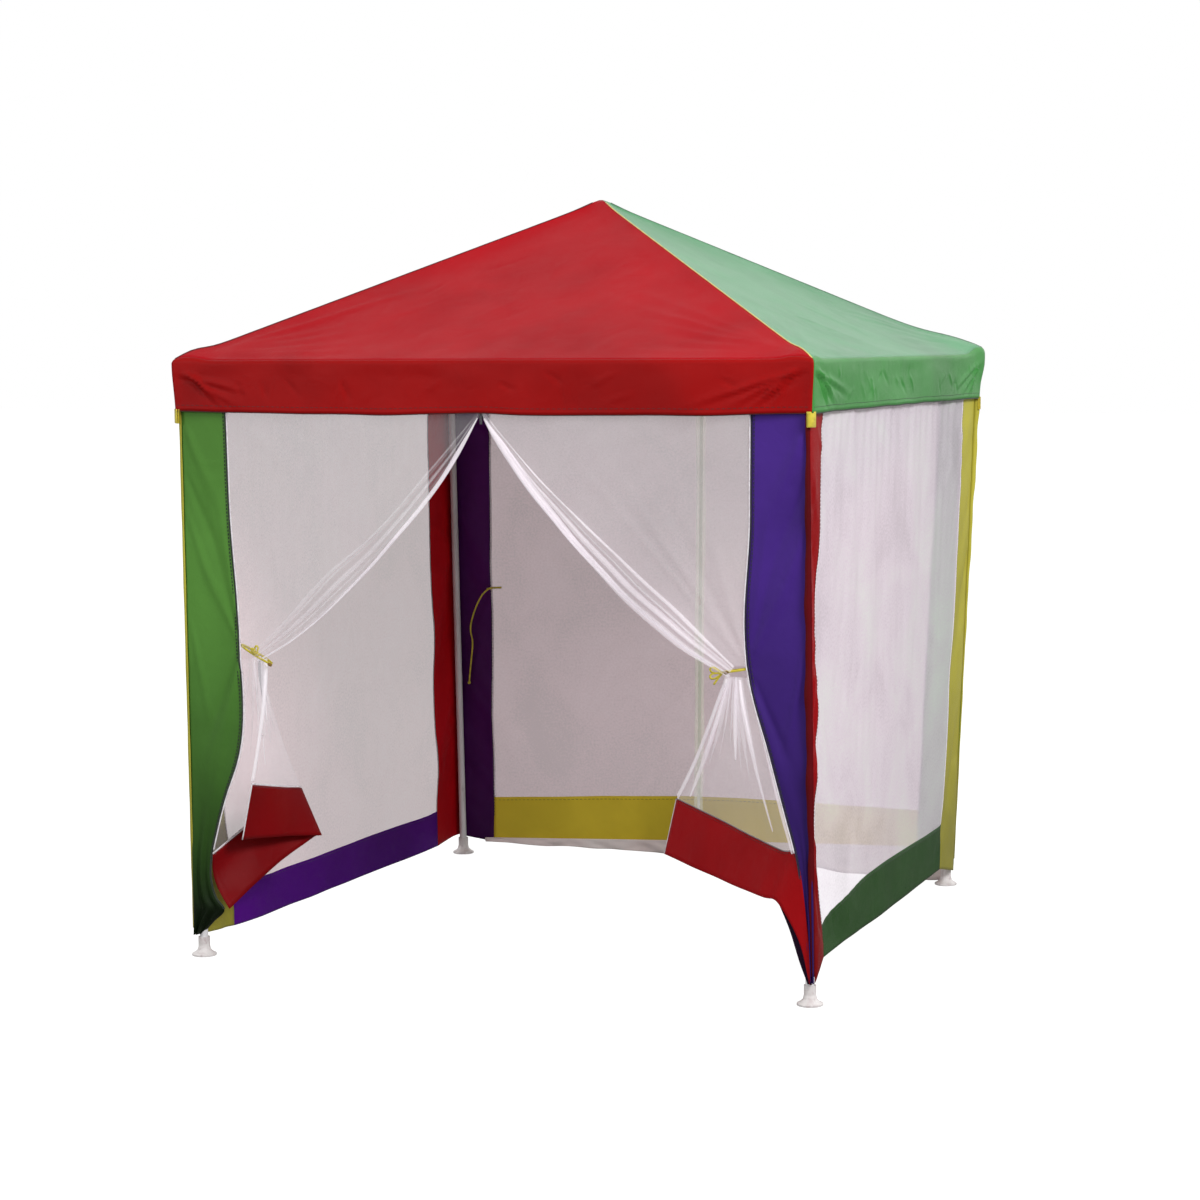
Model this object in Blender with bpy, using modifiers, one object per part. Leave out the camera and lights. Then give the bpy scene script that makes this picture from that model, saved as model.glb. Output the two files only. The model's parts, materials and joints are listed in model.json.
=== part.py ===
"""Screen house: a plug-together tube frame with a four-panel canopy and zipped net walls.

Metres, +Z up. The origin is on the ground under the peak. The front wall, with the open
door, faces -Y, and the right wall faces +X.
"""

import math

import bmesh
import bpy
from mathutils import Vector

# Canopy and frame
CANOPY_HALF = 1.0
EAVE_HEIGHT = 1.823
PEAK_HEIGHT = 2.324
VALANCE_DROP = 0.141
FRAME_HALF = 0.96
RAIL_HEIGHT = 1.785
FRONT_FOOT = (0.972, 0.925)
BACK_FOOT = (0.91, 0.92)

# Tubes and their fittings
LEG_RADIUS = 0.0125
RAIL_RADIUS = 0.011
TUBE_WALL = 0.0012
LEG_BORE = 0.0146
RAIL_BORE = 0.0114
SOCKET_WALL = 0.0032
LEG_BOTTOM = 0.0135
LEG_TOP = 1.763
LEG_SOCKET_MOUTH = 1.732
LEG_SOCKET_SEAT = 1.770
RAIL_START = 0.036
RAIL_SEAT = 0.035
SOCKET_LENGTH = 0.080
RAFTER_UNDER_ROOF = 0.038
HUB_RADIUS = 0.032
HUB_TOP = 2.300
HUB_BOTTOM = 2.262
HUB_SEAT = 0.047
HUB_SOCKET = 0.100
FOOT_RADIUS = 0.038
FOOT_HEIGHT = 0.058
FOOT_SEAT = 0.012

# Cloth
CLOTH = 0.0015
GAP = 0.0004
WALL_HALF = 0.985
WALL_TOP = 1.70
WALL_PAST_FRONT_FOOT = 0.020
WALL_PAST_BACK_FOOT = 0.020
STRIP_WIDTH = 0.17
CORNER_GAP = 0.004
BACK_HEM = (0.045, 0.210)
LEFT_HEM = (0.050, 0.177)
RIGHT_HEM = (0.130, 0.255)
STRIP_BOTTOM = 0.068
ZIP_HALF = 0.006
DOOR_TOP_HALF = 0.012

# Door flaps, tied back: seam on the corner strip, fold, and free end
TIE_HEIGHT = 0.950
TIE_CENTRE_X = 0.759
NECK_TOP = 0.905
SEAM_GAP = 0.010

ROUND_STEPS = 20
COLLECTION = "screen_house"

CORNERS = {
    "front_left": (-1, -1),
    "front_right": (1, -1),
    "back_right": (1, 1),
    "back_left": (-1, 1),
}
# Each wall, named with the corner at its left and right as seen from outside
WALLS = {
    "front": ("front_left", "front_right"),
    "right": ("front_right", "back_right"),
    "back": ("back_right", "back_left"),
    "left": ("back_left", "front_left"),
}


def linear(channel):
    channel /= 255
    return channel / 12.92 if channel <= 0.04045 else ((channel + 0.055) / 1.055) ** 2.4


def material(name, red, green, blue, roughness, metallic=0.0):
    made = bpy.data.materials.new(name)
    made.use_nodes = True
    shader = made.node_tree.nodes["Principled BSDF"]
    shader.inputs["Base Color"].default_value = (linear(red), linear(green), linear(blue), 1)
    shader.inputs["Roughness"].default_value = roughness
    shader.inputs["Metallic"].default_value = metallic
    made.diffuse_color = shader.inputs["Base Color"].default_value
    return made


def clear_scene():
    for old in list(bpy.data.objects):
        bpy.data.objects.remove(old, do_unlink=True)


def new_collection(name):
    made = bpy.data.collections.new(name)
    bpy.context.scene.collection.children.link(made)
    return made


def add_object(name, data, look, collection):
    made = bpy.data.objects.new(name, data)
    collection.objects.link(made)
    if look is not None:
        own = look.copy()
        own.name = f"{name}_finish"
        data.materials.append(own)
    return made


def move_into(made, collection):
    for old in list(made.users_collection):
        old.objects.unlink(made)
    collection.objects.link(made)


def foot_of(corner):
    """The place of a corner's foot on the ground."""
    side, depth = CORNERS[corner]
    x, y = FRONT_FOOT if depth < 0 else BACK_FOOT
    return side * x, depth * y


def corner_at(corner, height):
    """Where two walls meet, at a height: the cloth hangs from the canopy to the foot."""
    side, depth = CORNERS[corner]
    x, y = foot_of(corner)
    past = WALL_PAST_FRONT_FOOT if depth < 0 else WALL_PAST_BACK_FOOT
    share = height / WALL_TOP
    low = Vector((x + side * past, y + depth * past))
    high = Vector((side * WALL_HALF, depth * WALL_HALF))
    return low.lerp(high, share)


def wall_point(wall, anchor, offset, height):
    """A point of a wall: anchor -1, 0 or 1 is its left corner, centre or right corner."""
    left, right = (corner_at(corner, height) for corner in WALLS[wall])
    centre = (left + right) / 2
    half = (right - left) / 2
    place = centre + half * anchor + half.normalized() * offset
    return Vector((place.x, place.y, height))


def offset_at(side, height):
    """The offset of a side's profile, a list of (height, offset) from the top down."""
    profile = side[1]
    for (high, first), (low, second) in zip(profile, profile[1:]):
        if low <= height <= high:
            return first + (second - first) * (high - height) / (high - low)
    return profile[0][1] if height > profile[0][0] else profile[-1][1]


def straight(anchor, offset):
    return anchor, [(WALL_TOP, offset), (0.0, offset)]


def shifted(side, distance):
    return side[0], [(height, offset + distance) for height, offset in side[1]]


def open_surface(name, rows, thickness, look, collection):
    """A sheet through rows of points, given a thickness by Solidify."""
    mesh = bpy.data.meshes.new(name)
    sheet = bmesh.new()
    grid = [[sheet.verts.new(point) for point in row] for row in rows]
    for upper, lower in zip(grid, grid[1:]):
        for column in range(len(upper) - 1):
            corners = (upper[column], lower[column], lower[column + 1], upper[column + 1])
            sheet.faces.new(corners)
    sheet.to_mesh(mesh)
    sheet.free()
    made = add_object(name, mesh, look, collection)
    solidify = made.modifiers.new("Thickness", "SOLIDIFY")
    solidify.thickness = thickness
    solidify.offset = 0
    solidify.use_even_offset = True
    return made


def wall_panel(name, wall, left, right, top, bottom, look, collection):
    """Cloth of a wall between two sides, each an anchor and a profile."""
    heights = {top, bottom}
    for side in (left, right):
        heights |= {height for height, _ in side[1] if bottom < height < top}
    rows = [
        [wall_point(wall, side[0], offset_at(side, height), height) for side in (left, right)]
        for height in sorted(heights, reverse=True)
    ]
    return open_surface(name, rows, CLOTH, look, collection)


def turned(name, profile, look, collection):
    """A turned shape: the profile runs down its outer side, and Screw turns it about Z."""
    mesh = bpy.data.meshes.new(name)
    shape = bmesh.new()
    points = [shape.verts.new((radius, 0, height)) for radius, height in profile]
    for first, second in zip(points, points[1:]):
        shape.edges.new((first, second))
    if profile[0][0] > 0:
        shape.edges.new((points[-1], points[0]))
    shape.to_mesh(mesh)
    shape.free()
    made = add_object(name, mesh, look, collection)
    screw = made.modifiers.new("Turn", "SCREW")
    screw.axis = "Z"
    screw.steps = ROUND_STEPS
    screw.render_steps = ROUND_STEPS
    screw.use_merge_vertices = True
    screw.merge_threshold = 0.00005
    screw.use_smooth_shade = True
    return made


def aim(made, start, end):
    """Stands an object made along +Z on start, pointing at end."""
    made.location = start
    made.rotation_mode = "QUATERNION"
    made.rotation_quaternion = (Vector(end) - Vector(start)).to_track_quat("Z", "Y")


def tube(name, start, end, radius, look, collection):
    length = (Vector(end) - Vector(start)).length
    inner = radius - TUBE_WALL
    profile = [(radius, length), (radius, 0.0), (inner, 0.0), (inner, length)]
    made = turned(name, profile, look, collection)
    aim(made, start, end)
    return made


def cylinder(name, start, end, radius, collection):
    start, end = Vector(start), Vector(end)
    bpy.ops.mesh.primitive_cylinder_add(
        vertices=ROUND_STEPS, radius=radius, depth=(end - start).length
    )
    made = bpy.context.object
    made.name = name
    made.location = (start + end) / 2
    made.rotation_mode = "QUATERNION"
    made.rotation_quaternion = (end - start).to_track_quat("Z", "Y")
    move_into(made, collection)
    return made


def hide_cutter(made):
    made.hide_render = True
    made.display_type = "WIRE"


def combine(base, others, operation):
    for other in others:
        hide_cutter(other)
        step = base.modifiers.new(f"{operation.title()} {other.name}", "BOOLEAN")
        step.operation = operation
        step.solver = "EXACT"
        step.object = other


def rafter_line(corner):
    """The rafter's axis: where it passes over the leg, and where it reaches the middle."""
    side, depth = CORNERS[corner]
    slope = (PEAK_HEIGHT - EAVE_HEIGHT) / CANOPY_HALF
    over_leg = EAVE_HEIGHT + (CANOPY_HALF - FRAME_HALF) * slope - RAFTER_UNDER_ROOF
    start = Vector((side * FRAME_HALF, depth * FRAME_HALF, over_leg))
    end = Vector((0, 0, PEAK_HEIGHT - RAFTER_UNDER_ROOF))
    return start, end


def make_foot(corner, look, parts):
    x, y = foot_of(corner)
    outer = LEG_BORE + SOCKET_WALL
    profile = [
        (0.0, FOOT_SEAT),
        (LEG_BORE, FOOT_SEAT),
        (LEG_BORE, FOOT_HEIGHT),
        (outer, FOOT_HEIGHT),
        (outer, 0.030),
        (outer + 0.003, 0.018),
        (0.029, 0.0105),
        (FOOT_RADIUS - 0.001, 0.0065),
        (FOOT_RADIUS, 0.0055),
        (FOOT_RADIUS, 0.001),
        (FOOT_RADIUS - 0.001, 0.0),
        (0.0, 0.0),
    ]
    made = turned(f"foot_{corner}", profile, look, parts)
    made.location = (x, y, 0)


def make_leg(corner, look, parts):
    side, depth = CORNERS[corner]
    x, y = foot_of(corner)
    start = (x, y, LEG_BOTTOM)
    end = (side * FRAME_HALF, depth * FRAME_HALF, LEG_TOP)
    tube(f"leg_{corner}", start, end, LEG_RADIUS, look, parts)


def make_eave_rail(wall, look, parts):
    left, right = (CORNERS[corner] for corner in WALLS[wall])
    start = Vector((left[0] * FRAME_HALF, left[1] * FRAME_HALF, RAIL_HEIGHT))
    end = Vector((right[0] * FRAME_HALF, right[1] * FRAME_HALF, RAIL_HEIGHT))
    inward = (end - start).normalized() * RAIL_START
    tube(f"eave_rail_{wall}", start + inward, end - inward, RAIL_RADIUS, look, parts)


def make_rafter(corner, look, parts):
    start, end = rafter_line(corner)
    along = (end - start).normalized()
    first = start + along * RAIL_START
    last = end - along * (HUB_SEAT + GAP)
    tube(f"rafter_{corner}", first, last, RAIL_RADIUS, look, parts)


def make_corner_connector(corner, look, parts, cutters):
    """Four sockets moulded round a ball: leg, two eave rails and rafter."""
    side, depth = CORNERS[corner]
    name = f"corner_connector_{corner}"
    x, y = side * FRAME_HALF, depth * FRAME_HALF
    centre = Vector((x, y, RAIL_HEIGHT + 0.006))
    bpy.ops.mesh.primitive_uv_sphere_add(
        segments=ROUND_STEPS, ring_count=10, radius=0.0225, location=centre
    )
    ball = bpy.context.object
    ball.name = name
    move_into(ball, parts)
    own = look.copy()
    own.name = f"{name}_finish"
    ball.data.materials.append(own)

    rail_centre = Vector((x, y, RAIL_HEIGHT))
    over_leg, peak = rafter_line(corner)
    rafter_way = (peak - over_leg).normalized()
    ways = {
        "rail_x": (rail_centre, Vector((-side, 0, 0))),
        "rail_y": (rail_centre, Vector((0, -depth, 0))),
        "rafter": (over_leg, rafter_way),
    }
    leg_outer = LEG_BORE + SOCKET_WALL
    rail_outer = RAIL_BORE + SOCKET_WALL
    added = [
        cylinder(f"{name}_leg", (x, y, LEG_SOCKET_MOUTH), centre, leg_outer, cutters)
    ]
    bored = [
        cylinder(
            f"{name}_leg_bore", (x, y, LEG_SOCKET_MOUTH - 0.01), (x, y, LEG_SOCKET_SEAT),
            LEG_BORE, cutters,
        )
    ]
    for label, (start, way) in ways.items():
        end = start + way * SOCKET_LENGTH
        added.append(cylinder(f"{name}_{label}", start, end, rail_outer, cutters))
        seat = start + way * RAIL_SEAT
        past = end + way * 0.01
        bored.append(cylinder(f"{name}_{label}_bore", seat, past, RAIL_BORE, cutters))
    combine(ball, added, "UNION")
    combine(ball, bored, "DIFFERENCE")


def make_peak_hub(look, parts, cutters):
    hub = cylinder("peak_hub", (0, 0, HUB_BOTTOM), (0, 0, HUB_TOP), HUB_RADIUS, parts)
    own = look.copy()
    own.name = "peak_hub_finish"
    hub.data.materials.append(own)
    added, bored = [], []
    for corner in CORNERS:
        start, end = rafter_line(corner)
        way = (start - end).normalized()
        mouth = end + way * HUB_SOCKET
        name = f"peak_hub_{corner}"
        added.append(cylinder(name, end, mouth, RAIL_BORE + SOCKET_WALL, cutters))
        seat = end + way * HUB_SEAT
        bored.append(cylinder(f"{name}_bore", seat, mouth + way * 0.01, RAIL_BORE, cutters))
    combine(hub, added, "UNION")
    combine(hub, bored, "DIFFERENCE")


def make_roof_panel(wall, look, parts):
    """A sloping triangle of canopy, with a hip gap on each side."""
    left, right = (Vector((*CORNERS[corner], 0)) for corner in WALLS[wall])
    outward = (left + right).normalized()
    along = (right - left).normalized()
    hip_gap = 0.0012
    eave_half = CANOPY_HALF - hip_gap
    low = outward * CANOPY_HALF + Vector((0, 0, EAVE_HEIGHT))
    high = outward * hip_gap + Vector((0, 0, PEAK_HEIGHT))
    mesh = bpy.data.meshes.new(f"roof_{wall}")
    sheet = bmesh.new()
    corners = (low - along * eave_half, low + along * eave_half, high)
    sheet.faces.new([sheet.verts.new(corner) for corner in corners])
    sheet.to_mesh(mesh)
    sheet.free()
    made = add_object(f"roof_{wall}", mesh, look, parts)
    solidify = made.modifiers.new("Thickness", "SOLIDIFY")
    solidify.thickness = CLOTH
    solidify.offset = -1


def make_valance(wall, look, parts):
    left, right = (Vector((*CORNERS[corner], 0)) for corner in WALLS[wall])
    outward = (left + right).normalized()
    along = (right - left).normalized()
    half = CANOPY_HALF - CLOTH - GAP
    middle = outward * (CANOPY_HALF - CLOTH / 2)
    top = EAVE_HEIGHT - CLOTH - 2 * GAP
    bottom = EAVE_HEIGHT - VALANCE_DROP
    rows = [
        [middle + along * end + Vector((0, 0, height)) for end in (-half, half)]
        for height in (top, bottom)
    ]
    open_surface(f"valance_{wall}", rows, CLOTH, look, parts)


def make_plain_wall(wall, colours, hem_heights, first_edge, second_edge, net, parts):
    """A wall with a strip down each corner, a net between them and a hem below."""
    hem_bottom, hem_top = hem_heights
    ends = [name.split("_")[0] for name in WALLS[wall]]
    outer_left = straight(-1, CORNER_GAP)
    outer_right = straight(1, -CORNER_GAP)
    strip_left, strip_right, hem = colours
    wall_panel(
        f"{wall}_wall_strip_{ends[0]}", wall, outer_left, first_edge,
        WALL_TOP, STRIP_BOTTOM, strip_left, parts,
    )
    wall_panel(
        f"{wall}_wall_strip_{ends[1]}", wall, second_edge, outer_right,
        WALL_TOP, STRIP_BOTTOM, strip_right, parts,
    )
    inner_left = shifted(first_edge, GAP)
    inner_right = shifted(second_edge, -GAP)
    wall_panel(
        f"{wall}_wall_net", wall, inner_left, inner_right, WALL_TOP, hem_top + GAP, net, parts
    )
    wall_panel(
        f"{wall}_wall_hem", wall, inner_left, inner_right, hem_top, hem_bottom, hem, parts
    )


def make_back_wall(colours, net, zip_look, parts):
    """The back door, closed: two net leaves that meet at a zip."""
    strip_right, strip_left, hem = colours
    hem_bottom, hem_top = BACK_HEM
    edge_right = straight(-1, STRIP_WIDTH)
    edge_left = (1, [(WALL_TOP, -0.160), (0.0, -0.135)])
    wall_panel(
        "back_wall_strip_right", "back", straight(-1, CORNER_GAP), edge_right,
        WALL_TOP, STRIP_BOTTOM, strip_right, parts,
    )
    wall_panel(
        "back_wall_strip_left", "back", edge_left, straight(1, -CORNER_GAP),
        WALL_TOP, STRIP_BOTTOM, strip_left, parts,
    )
    leaves = {
        "right": (shifted(edge_right, GAP), straight(0, -ZIP_HALF - GAP)),
        "left": (straight(0, ZIP_HALF + GAP), shifted(edge_left, -GAP)),
    }
    for side, (first, second) in leaves.items():
        wall_panel(
            f"back_door_net_{side}", "back", first, second, WALL_TOP, hem_top + GAP, net, parts
        )
        wall_panel(
            f"back_door_hem_{side}", "back", first, second, hem_top, hem_bottom, hem, parts
        )
    wall_panel(
        "back_zip_chain", "back", straight(0, -ZIP_HALF), straight(0, ZIP_HALF),
        WALL_TOP, hem_bottom, zip_look, parts,
    )


def bevelled_box(name, size, centre, tilt, width, look, parts):
    bpy.ops.mesh.primitive_cube_add(size=1)
    made = bpy.context.object
    made.name = name
    for corner in made.data.vertices:
        corner.co = [place * length for place, length in zip(corner.co, size)]
    made.location = centre
    made.rotation_euler = (tilt, 0, 0)
    move_into(made, parts)
    own = look.copy()
    own.name = f"{name}_finish"
    made.data.materials.append(own)
    rounding = made.modifiers.new("Rounding", "BEVEL")
    rounding.width = width
    rounding.segments = 2
    return made


def pull_tab(name, pivot, tilt, length, look, parts):
    """A flat tab whose origin is on its pivot; it hangs down from there."""
    above_pivot = 0.0009
    made = bevelled_box(name, (0.009, 0.0015, length), pivot, tilt, 0.0004, look, parts)
    for corner in made.data.vertices:
        corner.co.z -= length / 2 - above_pivot
    return made


def make_back_slider(look, parts):
    """The slider sits low on the closed chain, on the inner side of the wall."""
    height = 0.10
    low = wall_point("back", 0, 0, 0.0)
    high = wall_point("back", 0, 0, WALL_TOP)
    lean = -math.atan2(high.y - low.y, WALL_TOP)
    chain = wall_point("back", 0, 0, height)
    depth = 0.005
    behind = CLOTH / 2 + 0.0005
    centre = (0, chain.y - behind - depth / 2, height)
    bevelled_box("back_zip_slider", (0.014, depth, 0.022), centre, lean, 0.0012, look, parts)
    pivot = (0, chain.y - behind - depth - 0.0014, height + 0.004)
    pull_tab("back_zip_pull", pivot, lean, 0.034, look, parts)


def make_front_slider(look, parts):
    """The front door is open, so its slider is parked at the top of the chain."""
    height = 1.667
    place = wall_point("front", 0, 0, height)
    depth = 0.006
    bevelled_box("front_zip_slider", (0.014, depth, 0.018), place, 0, 0.0012, look, parts)
    pivot = (0, place.y - depth / 2 - 0.0013, height + 0.001)
    pull_tab("front_zip_pull", pivot, 0, 0.028, look, parts)
    wall_panel(
        "front_zip_chain", "front", straight(0, -ZIP_HALF), straight(0, ZIP_HALF),
        WALL_TOP, height + 0.0095, look, parts,
    )


def make_front_strips(left_look, right_look, parts):
    """The front strips narrow where the tied doors pull them towards the feet."""
    left_edge = (
        -1,
        [(WALL_TOP, 0.150), (1.40, 0.155), (1.00, 0.178), (0.61, 0.160), (0.50, 0.118),
         (0.33, 0.080), (STRIP_BOTTOM, 0.030)],
    )
    right_edge = (
        1,
        [(WALL_TOP, -0.166), (1.40, -0.172), (0.95, -0.183), (0.71, -0.120), (0.54, -0.077),
         (0.40, -0.047), (STRIP_BOTTOM, -0.020)],
    )
    wall_panel(
        "front_wall_strip_left", "front", straight(-1, CORNER_GAP), left_edge,
        WALL_TOP, STRIP_BOTTOM, left_look, parts,
    )
    wall_panel(
        "front_wall_strip_right", "front", right_edge, straight(1, -CORNER_GAP),
        WALL_TOP, STRIP_BOTTOM, right_look, parts,
    )
    return left_edge, right_edge


def make_door_upper(side, strip_edge, net, parts):
    """The door net above its tie: a triangle from the valance to the gathered neck."""
    sign = -1 if side == "left" else 1
    outer = shifted(strip_edge, -sign * GAP)
    neck = sign * (TIE_CENTRE_X - 0.020)
    top_half = sign * DOOR_TOP_HALF
    free_edge = (0, [(WALL_TOP, top_half), (1.66, top_half), (TIE_HEIGHT, neck)])
    strip_at_tie = sign * (TIE_CENTRE_X + 0.016)
    last_free = 1.00
    strip_there = wall_point("front", outer[0], offset_at(outer, last_free), last_free)
    profile = [
        (height, wall_point("front", outer[0], offset_at(outer, height), height).x)
        for height in (WALL_TOP, 1.40)
    ]
    profile += [(last_free, strip_there.x - sign * 0.004), (TIE_HEIGHT, strip_at_tie)]
    sides = [(0, profile), free_edge]
    if side == "right":
        sides.reverse()
    wall_panel(
        f"door_{side}_net_upper", "front", *sides, WALL_TOP, TIE_HEIGHT, net, parts
    )


def make_door_tail(side, net, hem_look, parts):
    """The door below its tie: a net tail that fans out to the hem band, swung inwards."""
    if side == "left":
        upper = [
            (-0.895, -0.940, 0.335), (-0.868, -0.740, 0.410), (-0.832, -0.572, 0.460),
            (-0.806, -0.572, 0.478), (-0.792, -0.740, 0.505), (-0.782, -0.925, 0.535),
        ]
        lower = [
            (-0.862, -0.940, 0.180), (-0.815, -0.740, 0.258), (-0.765, -0.572, 0.320),
            (-0.738, -0.572, 0.330), (-0.780, -0.740, 0.352), (-0.812, -0.925, 0.372),
        ]
        neck = [
            (-0.779, -0.955), (-0.774, -0.948), (-0.767, -0.942),
            (-0.758, -0.942), (-0.751, -0.948), (-0.745, -0.955),
        ]
    else:
        upper = [(0.412, -0.465, 0.488), (0.580, -0.625, 0.470), (0.750, -0.785, 0.448),
                 (0.917, -0.938, 0.425)]
        lower = [(0.385, -0.495, 0.322), (0.555, -0.655, 0.310), (0.720, -0.810, 0.300),
                 (0.880, -0.945, 0.290)]
        neck = [(0.739, -0.952), (0.752, -0.946), (0.765, -0.948), (0.777, -0.952)]
    top_row = [Vector((x, y, NECK_TOP)) for x, y in neck]
    seam_row = [
        Vector(point) + (high - Vector(point)).normalized() * SEAM_GAP
        for high, point in zip(top_row, upper)
    ]
    rows = [top_row, seam_row]
    hem_rows = [[Vector(point) for point in upper], [Vector(point) for point in lower]]
    open_surface(f"door_{side}_net_tail", rows, CLOTH, net, parts)
    open_surface(f"door_{side}_hem", hem_rows, CLOTH, hem_look, parts)


def make_door_tie(side, look, parts, cutters):
    """A tape looped round the gathered door at its strip, with its knot."""
    sign = -1 if side == "left" else 1
    name = f"door_{side}_tie"
    bpy.ops.mesh.primitive_torus_add(
        major_segments=20, minor_segments=8, major_radius=0.035, minor_radius=0.0035
    )
    loop = bpy.context.object
    loop.name = name
    for corner in loop.data.vertices:
        corner.co.y *= 0.5
    loop.location = (sign * TIE_CENTRE_X, -0.9625, TIE_HEIGHT)
    loop.rotation_euler = (0, math.radians(sign * -22), 0)
    move_into(loop, parts)
    own = look.copy()
    own.name = f"{name}_finish"
    loop.data.materials.append(own)
    bpy.ops.mesh.primitive_uv_sphere_add(segments=12, ring_count=8, radius=0.007)
    knot = bpy.context.object
    knot.name = f"{name}_knot"
    knot.location = (sign * (TIE_CENTRE_X - 0.012), -0.9795, TIE_HEIGHT - 0.005)
    move_into(knot, cutters)
    combine(loop, [knot], "UNION")


def make_back_tie_cord(look, parts):
    """The back door's tie, hanging loose from the left strip's edge."""
    route = [
        (-0.812, 0.9640, 0.978), (-0.814, 0.9560, 0.977), (-0.822, 0.9500, 0.971),
        (-0.838, 0.9455, 0.953), (-0.856, 0.9435, 0.920), (-0.872, 0.9430, 0.880),
        (-0.882, 0.9430, 0.842), (-0.882, 0.9430, 0.815), (-0.876, 0.9430, 0.790),
        (-0.876, 0.9430, 0.760), (-0.881, 0.9425, 0.715), (-0.886, 0.9420, 0.670),
        (-0.890, 0.9415, 0.626),
    ]
    points = smooth_through([Vector(point) for point in route], 3)
    curve = bpy.data.curves.new("back_tie_cord", "CURVE")
    curve.dimensions = "3D"
    curve.bevel_depth = 0.003
    curve.bevel_resolution = 2
    curve.use_fill_caps = True
    spline = curve.splines.new("POLY")
    spline.points.add(len(points) - 1)
    for target, point in zip(spline.points, points):
        target.co = (*point, 1)
    add_object("back_tie_cord", curve, look, parts)


def smooth_through(route, steps):
    """Points on a smooth curve through a route, with steps to each of its spans."""
    padded = [route[0] * 2 - route[1], *route, route[-1] * 2 - route[-2]]
    points = [route[0]]
    for before, start, end, after in zip(padded, padded[1:], padded[2:], padded[3:]):
        for step in range(1, steps + 1):
            t = step / steps
            points.append(
                0.5 * (
                    2 * start
                    + (end - before) * t
                    + (2 * before - 5 * start + 4 * end - after) * t * t
                    + (3 * start - before - 3 * end + after) * t * t * t
                )
            )
    return points


def build():
    clear_scene()
    parts = new_collection(COLLECTION)
    cutters = new_collection("cutters")

    tube_white = material("tube_white", 214, 212, 214, 0.4)
    moulding = material("moulding_white", 224, 222, 220, 0.45)
    red = material("red", 182, 28, 38, 0.55)
    green = material("green", 74, 132, 66, 0.55)
    purple = material("purple", 66, 38, 128, 0.55)
    yellow = material("yellow", 196, 190, 74, 0.55)
    net = material("net", 214, 204, 212, 0.8)
    tape = material("tape", 206, 190, 64, 0.7)
    zip_look = material("zip", 70, 66, 72, 0.4, 0.6)
    chain_look = material("chain", 186, 178, 176, 0.6)
    canopy = {"front": red, "right": green, "back": yellow, "left": purple}

    for corner in CORNERS:
        make_foot(corner, moulding, parts)
        make_leg(corner, tube_white, parts)
        make_corner_connector(corner, moulding, parts, cutters)
        make_rafter(corner, tube_white, parts)
    make_peak_hub(moulding, parts, cutters)
    for wall in WALLS:
        make_eave_rail(wall, tube_white, parts)
        make_roof_panel(wall, canopy[wall], parts)
        make_valance(wall, canopy[wall], parts)

    pulled_edge = (
        -1,
        [(WALL_TOP, 0.178), (0.90, 0.105), (0.30, 0.088), (0.16, 0.120), (STRIP_BOTTOM, 0.035)],
    )
    plain_left = straight(-1, STRIP_WIDTH)
    plain_right = straight(1, -STRIP_WIDTH)
    make_plain_wall(
        "left", (red, yellow, purple), LEFT_HEM, plain_left, plain_right, net, parts
    )
    make_plain_wall(
        "right", (red, yellow, green), RIGHT_HEM, pulled_edge, plain_right, net, parts
    )
    make_back_wall((green, purple, yellow), net, chain_look, parts)
    make_back_slider(zip_look, parts)

    edges = make_front_strips(green, purple, parts)
    for side, edge, hem_look in zip(("left", "right"), edges, (red, red)):
        make_door_upper(side, edge, net, parts)
        make_door_tail(side, net, hem_look, parts)
        make_door_tie(side, tape, parts, cutters)
    make_front_slider(zip_look, parts)
    make_back_tie_cord(tape, parts)


build()
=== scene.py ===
"""Looks of the screen house: cloth, nets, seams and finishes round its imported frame.

Metres, +Z up. The front wall, with the open door, faces -Y and the right wall faces +X.
"""

import json
import math
import random

import bpy
import numpy as np
from mathutils import Matrix, Vector


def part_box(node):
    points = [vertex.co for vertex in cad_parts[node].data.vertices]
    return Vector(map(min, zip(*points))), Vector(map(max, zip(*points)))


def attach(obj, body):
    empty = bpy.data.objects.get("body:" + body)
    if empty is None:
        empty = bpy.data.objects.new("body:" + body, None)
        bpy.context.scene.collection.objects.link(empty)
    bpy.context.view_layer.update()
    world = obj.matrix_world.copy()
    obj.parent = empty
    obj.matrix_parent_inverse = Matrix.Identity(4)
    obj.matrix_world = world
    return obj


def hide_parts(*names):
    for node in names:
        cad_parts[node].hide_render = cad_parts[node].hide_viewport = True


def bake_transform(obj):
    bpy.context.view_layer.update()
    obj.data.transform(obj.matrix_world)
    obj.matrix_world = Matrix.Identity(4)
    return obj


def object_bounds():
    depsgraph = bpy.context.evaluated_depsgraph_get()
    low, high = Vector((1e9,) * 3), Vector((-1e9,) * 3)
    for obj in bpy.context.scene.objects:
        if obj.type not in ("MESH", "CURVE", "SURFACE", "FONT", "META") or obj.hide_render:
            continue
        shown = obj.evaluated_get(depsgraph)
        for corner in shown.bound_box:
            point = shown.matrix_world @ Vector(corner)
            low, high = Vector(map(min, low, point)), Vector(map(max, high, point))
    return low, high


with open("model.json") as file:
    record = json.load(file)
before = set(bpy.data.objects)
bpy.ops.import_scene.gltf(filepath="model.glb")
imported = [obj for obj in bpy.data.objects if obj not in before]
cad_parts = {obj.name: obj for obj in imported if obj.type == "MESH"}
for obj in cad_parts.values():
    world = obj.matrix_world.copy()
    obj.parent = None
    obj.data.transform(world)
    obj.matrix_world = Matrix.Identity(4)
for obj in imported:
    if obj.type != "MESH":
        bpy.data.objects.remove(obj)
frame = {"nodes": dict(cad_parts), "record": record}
cad_low, cad_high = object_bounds()

ROOT = "frame_and_cloth"

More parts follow.
